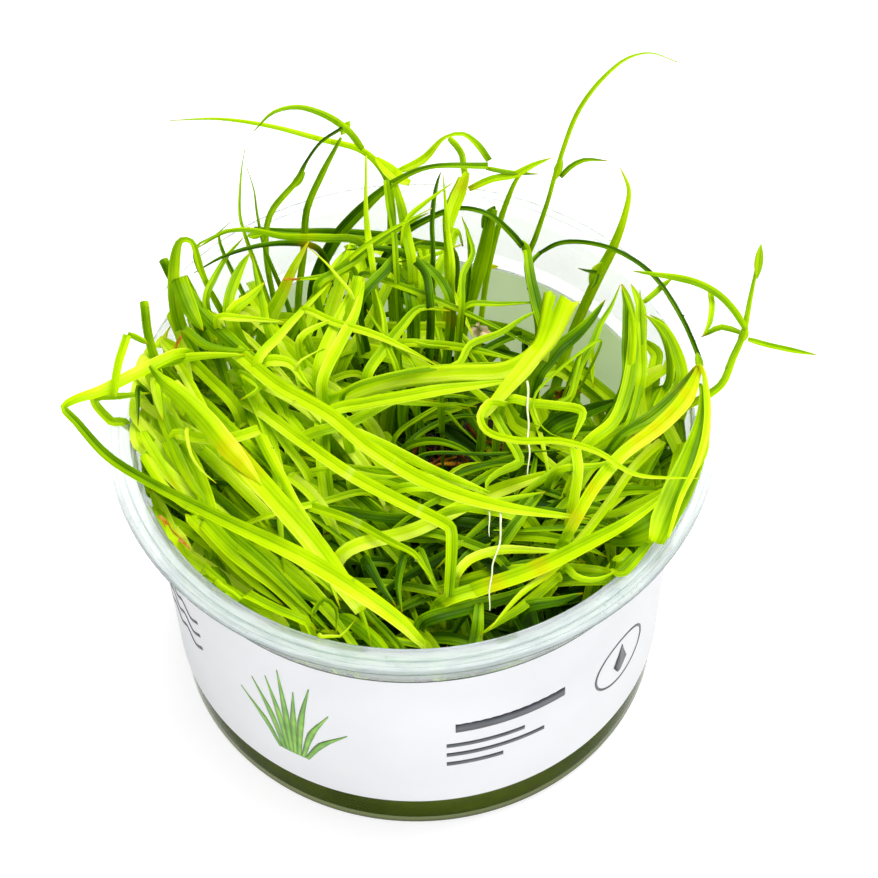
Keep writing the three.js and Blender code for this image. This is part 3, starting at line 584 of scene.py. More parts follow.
def seen(column, row, height):
    """The place at a height that the picture shows at a column and row."""
    middle = PICTURE_SIDE / 2
    ray = (-VIEW_BACK + VIEW_RIGHT * (column - middle) / FOCAL_PIXELS
           + VIEW_UP * (middle - row) / FOCAL_PIXELS)
    return VIEW_EYE + ray * (height - VIEW_EYE[2]) / ray[2]


def picture_of(place):
    """The column and row at which the picture shows a place."""
    away = np.asarray(place) - VIEW_EYE
    depth = -away @ VIEW_BACK
    middle = PICTURE_SIDE / 2
    return (middle + FOCAL_PIXELS * (away @ VIEW_RIGHT) / depth,
            middle - FOCAL_PIXELS * (away @ VIEW_UP) / depth)


def outer_wall(height):
    """The wall's outer radius at a height."""
    return BASE_RADIUS + WALL_TAPER * height


def inner_wall(height):
    """The wall's inner radius at a height."""
    return outer_wall(height) - WALL


def smooth_path(points, spacing):
    """A centripetal curve through the points, sampled about every spacing millimetres."""
    points = np.asarray(points, float)
    ends = (2 * points[0] - points[1], 2 * points[-1] - points[-2])
    padded = np.vstack((ends[0], points, ends[1]))
    path = []
    for i in range(1, len(padded) - 2):
        before, start, end, after = padded[i - 1:i + 3]
        steps = [max(1e-4, np.linalg.norm(b - a)) ** 0.5
                 for a, b in ((before, start), (start, end), (end, after))]
        leave = ((start - before) / steps[0] - (end - before) / (steps[0] + steps[1])
                 + (end - start) / steps[1]) * steps[1]
        arrive = ((end - start) / steps[1] - (after - start) / (steps[1] + steps[2])
                  + (after - end) / steps[2]) * steps[1]
        count = max(2, int(round(np.linalg.norm(end - start) / spacing)))
        t = np.arange(count)[:, None] / count
        path.append(start + leave * t + (3 * (end - start) - 2 * leave - arrive) * t ** 2
                    + (2 * (start - end) + leave + arrive) * t ** 3)
    path.append(padded[-2:-1])
    return np.vstack(path)


def unit(vectors):
    """Vectors made one long."""
    lengths = np.linalg.norm(vectors, axis=-1, keepdims=True)
    return vectors / np.maximum(lengths, 1e-9)


def keep_in_cup(path, spare):
    """Moves a path's points out of the cup's wall and rim: inwards below the mouth, up over it."""
    path = path.copy()
    radius = np.hypot(path[:, 0], path[:, 1])
    over_rim = (radius > MOUTH_RADIUS - spare) & (path[:, 2] > CUP_HEIGHT - LIFTED_BELOW)
    least = CUP_HEIGHT + OVER_RIM + OVER_RIM_SHARE * spare
    path[over_rim, 2] = np.maximum(path[over_rim, 2], least)
    wall = np.interp(path[:, 2], (0, SHOULDER_HEIGHT, SHOULDER_HEIGHT + 2),
                     (inner_wall(0), inner_wall(SHOULDER_HEIGHT), MOUTH_RADIUS - OFF_MOUTH))
    limit = np.where(path[:, 2] < CUP_HEIGHT, wall - spare, np.inf)
    share = np.minimum(1, limit / np.maximum(radius, 1e-6))
    path[:, :2] *= share[:, None]
    return path


# Meshes

class Strips:
    """Leaves and stems gathered as arrays into one mesh.

    Its UV map, strip, runs across the leaf and along it in millimetres, and its attributes are the
    tone, from deep green to yellow, with painted shade laid into it for the living leaves, and the
    age, from foot to tip.
    """

    # A leaf's streaks start this far on for each point before it, so that no two leaves match.
    MAP_SHIFT = 0.37
    # Across and deep, from one edge over the upper face to the other and back underneath.
    FINE = ((-1, 0.1), (-0.7, 0.45), (-0.3, 0.5), (0, 0.4), (0.3, 0.5), (0.7, 0.45), (1, 0.1),
            (0.55, -0.45), (0, -0.5), (-0.55, -0.45))
    CREASES = (0, 3, 6)
    PLAIN = ((-1, 0), (0, 0.5), (1, 0), (0, -0.5))
    ROUND = tuple((math.cos(a), math.sin(a)) for a in np.linspace(math.pi, -math.pi, 8)[:-1])
    # A blade whose end is torn, and how far each line along it is torn back, in millimetres.
    TORN = ((-1, 0.1), (-0.7, 0.45), (-0.34, 0.5), (-0.24, 0.42), (-0.12, 0.5), (0.6, 0.45),
            (1, 0.1), (0.6, -0.45), (-0.12, -0.5), (-0.24, -0.5), (-0.34, -0.5), (-0.7, -0.45))
    TORN_BACK = (1.0, 0.3, 0.9, 3.6, 0.2, 0.7, 0.0, 0.7, 0.2, 3.6, 0.9, 0.3)

    def __init__(self):
        self.places, self.faces, self.maps, self.tones, self.ages = [], [], [], [], []
        self.creases = []
        self.count = 0

    def add(self, path, widths, thickness, reference, section=FINE, keel=0.0, twist=None,
            tone=0.5, ages=None):
        """Lofts a section along a path. The reference is the direction that the face turns to."""
        along = unit(np.gradient(path, axis=0))
        side = unit(np.cross(along, reference))
        flips = np.sign(np.einsum("ij,ij->i", side[1:], side[:-1]))
        side[1:] *= np.cumprod(np.where(flips == 0, 1, flips))[:, None]
        face = np.cross(side, along)
        if twist is not None:
            turned = side * np.cos(twist)[:, None] + face * np.sin(twist)[:, None]
            face = np.cross(turned, along)
            side = turned
        shape = np.array(section, float)
        across, deep = shape[:, 0], shape[:, 1]
        half = widths[:, None] / 2
        rise = deep * np.broadcast_to(thickness, (len(path), 1)) + np.abs(across) * keel * half
        ring = (path[:, None] + side[:, None] * (across * half)[..., None]
                + face[:, None] * rise[..., None])
        if section is self.TORN:
            back = np.linspace(0, 1, TORN_RINGS)[:, None] * self.TORN_BACK
            ring[-TORN_RINGS:] -= along[-TORN_RINGS:, None] * back[..., None]
        length = np.concatenate(([0], np.cumsum(np.linalg.norm(np.diff(path, axis=0), axis=1))))
        rows, cols = ring.shape[:2]
        index = self.count + np.arange(rows * cols).reshape(rows, cols)
        after = np.roll(index, -1, axis=1)
        quads = np.stack((index[:-1], index[1:], after[1:], after[:-1]), -1).reshape(-1, 4)
        self.places.append(ring.reshape(-1, 3))
        self.faces += quads.tolist()
        first, last = index[0].tolist(), index[-1].tolist()
        self.faces.append(first)
        if section is self.TORN:
            self.faces += [[last[-i], last[-i - 1], last[i + 1], last[i]] for i in range(1, 5)]
            self.faces += [[last[11], last[1], last[0]], [last[7], last[6], last[5]]]
        else:
            self.faces.append(last[::-1])
        mirror = 1 if len(self.tones) % 2 else -1
        across_map = np.broadcast_to((mirror * across + 1) / 2, (rows, cols))
        drawn = np.broadcast_to(length[:, None] + self.MAP_SHIFT * self.count, (rows, cols))
        self.maps.append(np.stack((across_map, drawn), -1).reshape(-1, 2))
        self.tones.append(np.repeat(np.broadcast_to(tone, rows), cols))
        share = length / max(length[-1], 1e-6) if ages is None else ages
        self.ages.append(np.repeat(share, cols))
        creased = np.isin(np.arange(cols), self.CREASES) & (cols == len(self.FINE))
        self.creases.append(np.tile(np.where(creased, np.arange(cols), -1), rows))
        self.count += rows * cols

    def make(self, name, material):
        """The gathered strips as one object at the origin."""
        mesh = bpy.data.meshes.new(name)
        places = np.vstack(self.places) * MM
        mesh.from_pydata(places.tolist(), [], self.faces)
        corners = np.zeros(len(mesh.loops), np.int32)
        mesh.loops.foreach_get("vertex_index", corners)
        layer = mesh.uv_layers.new(name="strip")
        layer.data.foreach_set("uv", np.vstack(self.maps)[corners].astype(np.float32).ravel())
        for label, values in (("tone", self.tones), ("age", self.ages)):
            attribute = mesh.attributes.new(label, "FLOAT", "POINT")
            attribute.data.foreach_set("value", np.concatenate(values).astype(np.float32))
        mesh.shade_smooth()
        ends = np.zeros(2 * len(mesh.edges), np.int32)
        mesh.edges.foreach_get("vertices", ends)
        lines = np.concatenate(self.creases)[ends.reshape(-1, 2)]
        sharp = mesh.attributes.new("sharp_edge", "BOOLEAN", "EDGE")
        sharp.data.foreach_set("value", (lines[:, 0] >= 0) & (lines[:, 0] == lines[:, 1]))
        mesh.materials.append(material)
        piece = bpy.data.objects.new(name, mesh)
        bpy.context.scene.collection.objects.link(piece)
        return piece


def deselect_all():
    """Leaves nothing selected, so that an operator acts on the new primitive alone."""
    bpy.ops.object.select_all(action="DESELECT")


def turned_shell(name, profile, steps, material):
    """A closed body of revolution: the profile is extruded point by point and spun round Z."""
    deselect_all()
    bpy.ops.mesh.primitive_plane_add(size=0.001, location=(0, 0, 0))
    piece = bpy.context.object
    piece.name = piece.data.name = name
    bpy.ops.object.mode_set(mode="EDIT")
    bpy.ops.mesh.select_all(action="SELECT")
    bpy.ops.mesh.merge(type="CENTER")
    places = [Vector((radius * MM, 0, height * MM)) for radius, height in profile]
    bpy.ops.transform.translate(value=places[0])
    for before, place in zip(places, places[1:]):
        bpy.ops.mesh.extrude_vertices_move(TRANSFORM_OT_translate={"value": place - before})
    bpy.ops.mesh.select_all(action="SELECT")
    bpy.ops.mesh.spin(steps=steps, angle=2 * math.pi, center=(0, 0, 0), axis=(0, 0, 1))
    bpy.ops.mesh.select_all(action="SELECT")
    bpy.ops.mesh.remove_doubles(threshold=1e-6)
    bpy.ops.mesh.normals_make_consistent(inside=False)
    bpy.ops.object.mode_set(mode="OBJECT")
    bpy.ops.object.shade_smooth_by_angle(angle=SMOOTH_ANGLE)
    bpy.ops.object.transform_apply(location=True, rotation=True, scale=True)
    piece.data.materials.append(material)
    return piece


def settle(piece, slot, *nodes):
    """Ties a finished piece to the frame, and hides the nodes that it stands for."""
    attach(piece, "root")
    if nodes:
        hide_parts(*nodes)


# Materials

def add_node(tree, kind, sockets=None, stops=None, **settings):
    """Adds a node. A socket takes a number, a colour, an output, or a node for its first one."""
    made = tree.nodes.new(kind)
    for name, value in settings.items():
        setattr(made, name, value)
    for name, value in (sockets or {}).items():
        if isinstance(value, bpy.types.Node):
            value = next(output for output in value.outputs if output.enabled)
        if isinstance(value, bpy.types.NodeSocket):
            tree.links.new(value, made.inputs[name])
        else:
            made.inputs[name].default_value = value
    if stops:
        ramp = made.color_ramp.elements
        while len(ramp) < len(stops):
            ramp.new(1.0)
        for element, (place, code) in zip(ramp, stops):
            element.position = place
            element.color = hex_linear(code)
    return made


def new_material(name):
    """An empty material, with its node tree and the place of a point on its object."""
    material = bpy.data.materials.new(name)
    material.use_nodes = True
    tree = material.node_tree
    tree.nodes.clear()
    return material, tree, add_node(tree, "ShaderNodeTexCoord").outputs["Object"]


def living_leaf():
    """Living rush leaf, grown: a thin satin skin over pale veins that light passes through."""
    material, tree, place = new_material("living_rush_leaf")
    uv = add_node(tree, "ShaderNodeUVMap", uv_map="strip")
    tone = add_node(tree, "ShaderNodeAttribute", attribute_name="tone").outputs["Fac"]
    age = add_node(tree, "ShaderNodeAttribute", attribute_name="age").outputs["Fac"]
    # Streaks about 12 mm long and a third of the leaf wide, and blotches of some 6 mm.
    drawn = add_node(tree, "ShaderNodeVectorMath", {0: uv, 1: (3.0, 0.08, 1.0)},
                     operation="MULTIPLY")
    streak = add_node(tree, "ShaderNodeTexNoise", {"Vector": drawn, "Scale": 1.0})
    blotch = add_node(tree, "ShaderNodeTexNoise", {"Vector": place, "Scale": 160.0})
    mixed = add_node(tree, "ShaderNodeMath", {0: streak, 1: blotch}, operation="ADD")
    shift = add_node(tree, "ShaderNodeMath", {0: mixed, 1: 0.32, 2: tone},
                     operation="MULTIPLY_ADD")
    # Painted shade and highlight: one half is greener and darker than the other, for the light on
    # the fold, the rib is a dark line of painted shade in its groove, and the edges are pale,
    # painted highlight.
    across = add_node(tree, "ShaderNodeSeparateXYZ", {"Vector": uv}).outputs["X"]
    half = add_node(tree, "ShaderNodeMapRange", {
        "Value": across, "From Min": 0.46, "From Max": 0.52, "To Min": -0.22, "To Max": -0.41})
    on_rib = add_node(tree, "ShaderNodeMath", {0: across, 1: 0.46, 2: 0.025},
                      operation="COMPARE")
    fold_and_rib_shade = add_node(tree, "ShaderNodeMath", {0: on_rib, 1: -0.16, 2: half},
                   operation="MULTIPLY_ADD")
    from_middle = add_node(tree, "ShaderNodeMath", {0: across, 1: 0.5}, operation="SUBTRACT")
    away = add_node(tree, "ShaderNodeMath", {0: from_middle}, operation="ABSOLUTE")
    # Painted highlight: the edges are paler.
    edge = add_node(tree, "ShaderNodeMapRange", {
        "Value": away, "From Min": 0.38, "From Max": 0.45, "To Max": 0.09})
    # Veins run the length of the leaf, about 0.4 mm apart.
    wave = add_node(tree, "ShaderNodeMath", {0: across, 1: 31.0}, operation="MULTIPLY")
    veins = add_node(tree, "ShaderNodeMath", {0: wave}, operation="SINE")
    veined = add_node(tree, "ShaderNodeMath", {0: veins, 1: 0.05, 2: fold_and_rib_shade},
                      operation="MULTIPLY_ADD")
    marked = add_node(tree, "ShaderNodeMath", {0: veined, 1: edge}, operation="ADD")
    level = add_node(tree, "ShaderNodeMath", {0: shift, 1: marked}, operation="ADD",
                     use_clamp=True)
    colour = add_node(tree, "ShaderNodeValToRGB", {"Fac": level}, stops=(
        (0.0, "#2a4f02"), (0.2, "#528403"), (0.4, "#8abb03"), (0.6, "#b8df05"),
        (0.78, "#d6f508"), (0.9, "#e2fb18"), (1.0, "#efff4a")))
    # The very tip of a leaf dries to straw, and joints, whose age is below nought, are pale.
    dry = add_node(tree, "ShaderNodeMapRange", {
        "Value": age, "From Min": 0.97, "From Max": 1.0, "To Max": 0.5})
    coloured = add_node(tree, "ShaderNodeMix", {0: dry, 6: colour, 7: hex_linear("#eeb40a")},
                        data_type="RGBA")
    pale = add_node(tree, "ShaderNodeMapRange", {
        "Value": age, "From Min": 0.0, "From Max": -1.0, "To Max": 0.38})
    jointed = add_node(tree, "ShaderNodeMix", {0: pale, 6: coloured, 7: hex_linear("#f4ff80")},
                       data_type="RGBA")
    bump = add_node(tree, "ShaderNodeBump", {
        "Height": veins, "Strength": 0.12, "Distance": 0.00005})
    skin = add_node(tree, "ShaderNodeBsdfPrincipled", {
        "Base Color": jointed, "Roughness": 0.3, "IOR": 1.45, "Specular IOR Level": 0.06,
        "Normal": bump})
    through = add_node(tree, "ShaderNodeBsdfTranslucent", {"Color": jointed})
    both = add_node(tree, "ShaderNodeMixShader", {0: 0.36, 1: skin, 2: through})
    add_node(tree, "ShaderNodeOutputMaterial", {"Surface": both})
    return material


def clear_wall_plastic(name, shade, ior):
    """Polypropylene, injection moulded and polished: clear, with painted shade at the base's
    corner.

    Its IOR is 1.49. It is set lower, because the wall shows hardly any reflection in the picture,
    and lower still where the gel wets it.
    """
    material, tree, place = new_material(name)
    flow = add_node(tree, "ShaderNodeTexNoise", {"Vector": place, "Scale": 35.0})
    tint = add_node(tree, "ShaderNodeValToRGB", {"Fac": flow},
                    stops=((0.3, shade), (0.7, "#fbfdfd")))
    # Painted shade: the corner of the base, 2 mm high, is darkened olive, for the gel seen through
    # it.
    height = add_node(tree, "ShaderNodeSeparateXYZ", {"Vector": place}).outputs["Z"]
    low = add_node(tree, "ShaderNodeMapRange", {
        "Value": height, "From Min": 0.0012, "From Max": 0.0022, "To Min": 1.0, "To Max": 0.0})
    shaded = add_node(tree, "ShaderNodeMix", {0: low, 6: tint, 7: hex_linear("#3f4822")},
                      data_type="RGBA")
    plastic = add_node(tree, "ShaderNodeBsdfPrincipled", {
        "Base Color": shaded, "Roughness": 0.05, "IOR": ior, "Transmission Weight": 1.0})
    add_node(tree, "ShaderNodeOutputMaterial", {"Surface": plastic})
    return material


def fogged_rim_plastic():
    """Polypropylene, injection moulded: milky where it is thick, and fogged by fine drops.

    Its faint glow stands for the daylight that scatters inside the milky plastic.
    """
    material, tree, place = new_material("moulded_milky_polypropylene")
    parts = add_node(tree, "ShaderNodeSeparateXYZ", {"Vector": place})
    forward, upward = parts.outputs["Y"], parts.outputs["Z"]
    flat = add_node(tree, "ShaderNodeVectorMath", {0: place, 1: (1.0, 1.0, 0.0)},
                    operation="MULTIPLY")
    radius = add_node(tree, "ShaderNodeVectorMath", {0: flat}, operation="LENGTH")
    # Painted shade: the flange's edges and its two fine rings are darker lines, 44 to 51 mm from
    # the axis.
    share = add_node(tree, "ShaderNodeMapRange", {
        "Value": radius, "From Min": 0.044, "From Max": 0.051})
    tint = add_node(tree, "ShaderNodeValToRGB", {"Fac": share}, stops=(
        (0.0, "#fbfdfc"), (0.2, "#f8fbfa"), (0.235, "#cfdddb"), (0.27, "#f4f9f8"),
        (0.55, "#f2f8f6"), (0.58, "#c2d0cf"), (0.61, "#f2f8f6"), (0.72, "#f4f9f7"),
        (0.745, "#c8d5d3"), (0.77, "#f6faf9"), (0.86, "#eff6f4")))
    # Flow marks and a film of water, with painted reflection in the wet film: streaks some 6 mm
    # long round the rim and 0.6 mm apart.
    around = add_node(tree, "ShaderNodeMath", {0: forward, 1: parts.outputs["X"]},
                      operation="ARCTAN2")
    laid = add_node(tree, "ShaderNodeCombineXYZ", {"X": around, "Y": radius})
    drawn = add_node(tree, "ShaderNodeVectorMath", {0: laid, 1: (8.0, 1600.0, 1.0)},
                     operation="MULTIPLY")
    streak = add_node(tree, "ShaderNodeTexNoise", {"Vector": drawn, "Scale": 1.0, "Detail": 3.0})
    streaked = add_node(tree, "ShaderNodeMapRange", {
        "Value": streak, "From Min": 0.45, "From Max": 0.75, "To Max": 0.5})
    shaded = add_node(tree, "ShaderNodeMix", {0: streaked, 6: tint, 7: hex_linear("#aebfc4")},
                      data_type="RGBA")
    # Condensed drops 0.5 to 1 mm across, in patches.
    drops = add_node(tree, "ShaderNodeTexVoronoi", {"Vector": place, "Scale": 900.0})
    dome = add_node(tree, "ShaderNodeMapRange", {
        "Value": drops, "From Max": 0.35, "To Min": 1.0, "To Max": 0.0})
    patches = add_node(tree, "ShaderNodeTexNoise", {"Vector": place, "Scale": 70.0})
    where = add_node(tree, "ShaderNodeMapRange", {
        "Value": patches, "From Min": 0.5, "From Max": 0.62})
    wet = add_node(tree, "ShaderNodeMath", {0: dome, 1: where}, operation="MULTIPLY")
    fogged = add_node(tree, "ShaderNodeMath", {0: wet, 1: 0.3}, operation="MULTIPLY")
    speckled = add_node(tree, "ShaderNodeMix", {0: fogged, 6: shaded, 7: hex_linear("#7f9190")},
                        data_type="RGBA")
    # Painted shade: the rim's shaded colour shows only in front, and it is drawn near white at the
    # sides and back. In front the lip's lower edge and the shoulder are dark lines of painted
    # shade.
    front = add_node(tree, "ShaderNodeMapRange", {
        "Value": forward, "From Min": 0.025, "From Max": -0.03, "To Min": 0.12})
    front_painted_shade = add_node(tree, "ShaderNodeMix", {0: front, 6: hex_linear("#fcfefd"), 7: speckled},
                     data_type="RGBA")
    low = add_node(tree, "ShaderNodeMapRange", {
        "Value": upward, "From Min": 0.0605, "From Max": 0.0608, "To Min": 0.6, "To Max": 0.0})
    out = add_node(tree, "ShaderNodeMapRange", {
        "Value": radius, "From Min": 0.0491, "From Max": 0.0494})
    edge = add_node(tree, "ShaderNodeMath", {0: low, 1: out}, operation="MULTIPLY")
    shoulder = add_node(tree, "ShaderNodeMath", {0: upward, 1: 0.0509, 2: 0.0005},
                        operation="COMPARE")
    lines = add_node(tree, "ShaderNodeMath", {0: edge, 1: shoulder}, operation="MAXIMUM")
    near = add_node(tree, "ShaderNodeMapRange", {
        "Value": forward, "From Min": 0.0, "From Max": -0.03})
    painted_shade_lines = add_node(tree, "ShaderNodeMath", {0: lines, 1: near}, operation="MULTIPLY")
    edged = add_node(tree, "ShaderNodeMix", {0: painted_shade_lines, 6: front_painted_shade, 7: hex_linear("#465252")},
                     data_type="RGBA")
    bump = add_node(tree, "ShaderNodeBump", {
        "Height": wet, "Strength": 0.3, "Distance": 0.0002})
    plastic = add_node(tree, "ShaderNodeBsdfPrincipled", {
        "Base Color": edged, "Roughness": 0.08, "IOR": 1.12, "Transmission Weight": 0.72,
        "Normal": bump, "Emission Color": edged, "Emission Strength": 0.018})
    add_node(tree, "ShaderNodeOutputMaterial", {"Surface": plastic})
    return material


def mottled(name, scale, stops, looks, detail=2.0, distortion=0.0, bump=None, glow=None):
    """A material coloured by a noise that runs between stops.

    The bump is its strength and its depth in metres. The glow is in the material's own colour.
    """
    material, tree, place = new_material(name)
    noise = add_node(tree, "ShaderNodeTexNoise", {
        "Vector": place, "Scale": scale, "Detail": detail, "Distortion": distortion})
    tint = add_node(tree, "ShaderNodeValToRGB", {"Fac": noise}, stops=stops)
    sockets = {"Base Color": tint, **looks}
    if bump:
        strength, distance = bump
        sockets["Normal"] = add_node(tree, "ShaderNodeBump", {
            "Height": noise, "Strength": strength, "Distance": distance})
    if glow:
        sockets.update({"Emission Color": tint, "Emission Strength": glow})
    shader = add_node(tree, "ShaderNodeBsdfPrincipled", sockets)
    add_node(tree, "ShaderNodeOutputMaterial", {"Surface": shader})
    return material


def sleeve_film():
    """Polyethylene label film, printed white: smooth, with a slight satin sheen."""
    return mottled("white_label_film", 45.0, ((0.3, "#cfd0d3"), (0.7, "#d6d7da")),
                   {"Roughness": 0.38}, detail=3.0, bump=(0.1, 0.0003))


def sleeve_back():
    """The back of the label film, unprinted: dull, and greened by the leaves' light.

    Daylight comes through the thin white film from outside, which its glow stands for.
    """
    return mottled("unprinted_label_back", 50.0, ((0.3, "#bccd9b"), (0.7, "#cad8b0")),
                   {"Roughness": 0.6}, glow=0.72)


def printing_ink(name, dark, light, scale):
    """Printing ink on film: even colour with the slight mottle of a thin coat."""
    return mottled(name, scale, ((0.35, dark), (0.65, light)), {"Roughness": 0.4})


def culture_gel():
    """Agar growth gel, poured: a wet olive jelly, clouded by paler patches."""
    return mottled("olive_culture_gel", 60.0, ((0.3, "#323e03"), (0.7, "#434f09")), {
        "Roughness": 0.2, "IOR": 1.34, "Specular IOR Level": 0.02, "Subsurface Weight": 0.2,
        "Subsurface Radius": (0.002, 0.002, 0.0008)}, detail=4.0)


def matted_roots():
    """Matted roots and dead leaf bases, grown: dark brown with olive and rusty threads."""
    stops = ((0.3, "#130d05"), (0.5, "#33260f"), (0.62, "#3f4a12"), (0.75, "#7a4a1c"))
    return mottled("matted_rush_roots", 500.0, stops, {"Roughness": 0.75}, detail=6.0,
                   distortion=2.0, bump=(0.9, 0.001))


def root_skin():
    """Young root, grown: white and slightly waxy, a little translucent."""
    return mottled("white_rush_root", 900.0, ((0.3, "#cfdc9a"), (0.7, "#f2f4d2")), {
        "Roughness": 0.45, "Subsurface Weight": 0.2, "Subsurface Radius": (0.001, 0.001, 0.0006)})


def floor_paint():
    """Matt white sweep of a studio table, rolled paint: nearly shadowless, as it glows white."""
    return mottled("matt_white_sweep", 30.0, ((0.3, "#b4b4b4"), (0.7, "#bababa")), {
        "Roughness": 0.9, "Specular IOR Level": 0.1, "Emission Color": (1, 1, 1, 1),
        "Emission Strength": 0.78})


def dead_leaf():
    """Dead rush leaf, dried: rusty to straw brown, with darker streaks along it."""
    material, tree, place = new_material("dead_rush_leaf")
    tone = add_node(tree, "ShaderNodeAttribute", attribute_name="tone").outputs["Fac"]
    streak = add_node(tree, "ShaderNodeTexNoise", {"Vector": place, "Scale": 700.0, "Detail": 3.0})
    level = add_node(tree, "ShaderNodeMath", {0: streak, 1: 0.4, 2: tone},
                     operation="MULTIPLY_ADD")
    tint = add_node(tree, "ShaderNodeValToRGB", {"Fac": level}, stops=(
        (0.2, "#2c170a"), (0.45, "#7e3a08"), (0.65, "#c88a08"), (0.85, "#d8b58a"),
        (1.0, "#f2ead8")))
    leaf = add_node(tree, "ShaderNodeBsdfPrincipled", {
        "Base Color": tint, "Roughness": 0.6, "Specular IOR Level": 0.2})
    add_node(tree, "ShaderNodeOutputMaterial", {"Surface": leaf})
    return material


def water():
    """Water drops, condensed: clear, round and bright at the rim."""
    material, tree, place = new_material("condensed_water")
    shiver = add_node(tree, "ShaderNodeTexNoise", {"Vector": place, "Scale": 900.0})
    bump = add_node(tree, "ShaderNodeBump", {
        "Height": shiver, "Strength": 0.05, "Distance": 0.0001})
    drop = add_node(tree, "ShaderNodeBsdfPrincipled", {
        "Base Color": hex_linear("#fbfff4"), "Roughness": 0.02, "IOR": 1.33,
        "Transmission Weight": 1.0, "Normal": bump})
    add_node(tree, "ShaderNodeOutputMaterial", {"Surface": drop})
    return material


# The plant

def along_leaf(values, places, count):
    """Values along a leaf's path, from one value or from one at each place of its route."""
    if np.isscalar(values):
        return np.full(count, float(values))
    steps = np.linalg.norm(np.diff(places, axis=0), axis=1)
    shares = np.concatenate(([0], np.cumsum(steps))) / steps.sum()
    return np.interp(np.linspace(0, 1, count), shares[-len(values):], values)


def leaf_widths(widths, tip):
    """Widths drawn in a little at the foot and narrowed over the share that the tip takes."""
    share = np.linspace(0, 1, len(widths))
    widths = widths * np.clip(FOOT_WIDTH + share * FOOT_SPREAD, 0, 1)
    if tip > 0:
        left = np.clip((1 - share) / tip, 0, 1)
        widths = np.maximum(POINT_WIDTH, widths * left ** POINT_CURVE)
    return widths


def gentle_turn(count, amount, phase):
    """A slow turn of the face along a leaf."""
    share = np.linspace(0, 1, count)
    return amount * np.sin(TURN_WAVES * math.pi * share + phase)


def deep_foot(points):
    """The route with a foot that goes down into the tangle."""
    x, y, height = points[0]
    foot = np.array((x * FOOT_INWARD, y * FOOT_INWARD, max(ROOT_TOP + 1, height - FOOT_DEPTH)))
    return np.vstack((foot, points))


def lifted_route(route, lift):
    """A traced route's places, all but its foot raised along the line of sight."""
    places = [seen(column, row, height + lift) for column, row, height in route]
    places[0][2] -= lift
    return np.array(places)


def packed_lift(node, route):
    """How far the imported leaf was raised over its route: the step that fits its mesh best."""
    places = np.array([v.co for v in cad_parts[node].data.vertices]) / MM
    misses = []
    for step in range(LIFT_STEPS):
        path = smooth_path(lifted_route(route, step * LIFT_STEP), COARSE_SPACING)
        apart = np.linalg.norm(places[:, None] - path[None], axis=2)
        misses.append(apart.min(axis=1).mean())
    return LIFT_STEP * int(np.argmin(misses))


def near_marks(path, marks, reach):
    """How near a path's points come to marks in the picture, from 0 to 1 at the mark itself."""
    column, row = picture_of(path)
    near = np.zeros(len(path))
    for mark in marks:
        near += np.exp(-(np.hypot(column - mark[0], row - mark[1]) / reach) ** 2)
    return np.minimum(near, 1)


def add_leaf(strips, places, row, settings, draw, section=Strips.FINE):
    """Adds a leaf that faces the picture's eye, with its pale joints and golden spots.

    The row is the leaf's width, the share of its length that the tip takes, and its tone.
    """
    width, tip, tone = row
    path = smooth_path(places, settings.spacing / MM)
    path = keep_in_cup(path, 0.5 * np.max(width))
    count = len(path)
    ages = np.linspace(0, 1, count) if tip > 0 else np.zeros(count)
    golden = near_marks(path, GOLDEN_SPOTS, GOLDEN_REACH)
    ages = np.maximum(ages, GOLDEN_AGE + GOLDEN_OLDER * golden)
    joints = near_marks(path, PALE_JOINTS, JOINT_REACH)
    strips.add(path, leaf_widths(along_leaf(width, places, count), tip), settings.thickness / MM,
               VIEW_BACK, section, keel=draw.uniform(*TRACED_KEEL),
               twist=gentle_turn(count, draw.uniform(*TRACED_TURN), draw.uniform(0, FULL_TURN)),
               tone=along_leaf(tone, places, count) + draw.uniform(-TONE_DRIFT, TONE_DRIFT),
               ages=np.where(joints > JOINT_SHOWS, -joints, ages))


def surface_places(route, lift):
    """The places of a route that is given as column and row, over the tangle's surface."""
    return np.array([seen(column, row, lift + np.interp(row, SURFACE_ROWS, SURFACE_HEIGHTS))
                     for column, row in route])


def well_edge(angle):
    """The distance from the well's middle to its edge in a direction."""
    return 1 / math.hypot(math.cos(angle) / WELL_HALF[0], math.sin(angle) / WELL_HALF[1])


def reach_to_wall(angle, radius):
    """The distance from the well's middle to the wall in a direction."""
    along = WELL[0] * math.cos(angle) + WELL[1] * math.sin(angle)
    apart = WELL[0] ** 2 + WELL[1] ** 2 - radius ** 2
    return -along + math.sqrt(along * along - apart)


def tangle_height(x, y):
    """Height at which the tangle's leaves lie: as in the picture, but lower in the low places."""
    row = picture_of((x, y, CUP_HEIGHT + 0.5))[1]
    around = math.atan2(y, x)
    low = sum(drop * math.exp(-((around - middle) / spread) ** 2)
              for middle, spread, drop in LOW_PLACES)
    surface = min(np.interp(row, SURFACE_ROWS, SURFACE_HEIGHTS), TANGLE_TOP)
    return surface - TANGLE_SINK - low * min(1.0, math.hypot(x, y) / LOW_FROM)


def flow_direction(draw, x, y, height):
    """A level direction in which a leaf lies at a place, drawn from the nearest parts of FLOW."""
    column, row = picture_of((x, y, height))
    parts = np.array(FLOW, float)
    near = (np.hypot(parts[:, 0] - column, parts[:, 1] - row) + FLOW_REACH) ** FLOW_FALL
    part = draw.choice(len(parts), p=near / near.sum())
    second = draw.random() < SECOND_WAY
    angle = math.radians(parts[part, 3 if second else 2] + draw.normal(0, FLOW_SPREAD))
    way = np.array((math.cos(angle), -math.sin(angle) / math.sin(VIEW_ELEVATION)))
    return way / np.linalg.norm(way)


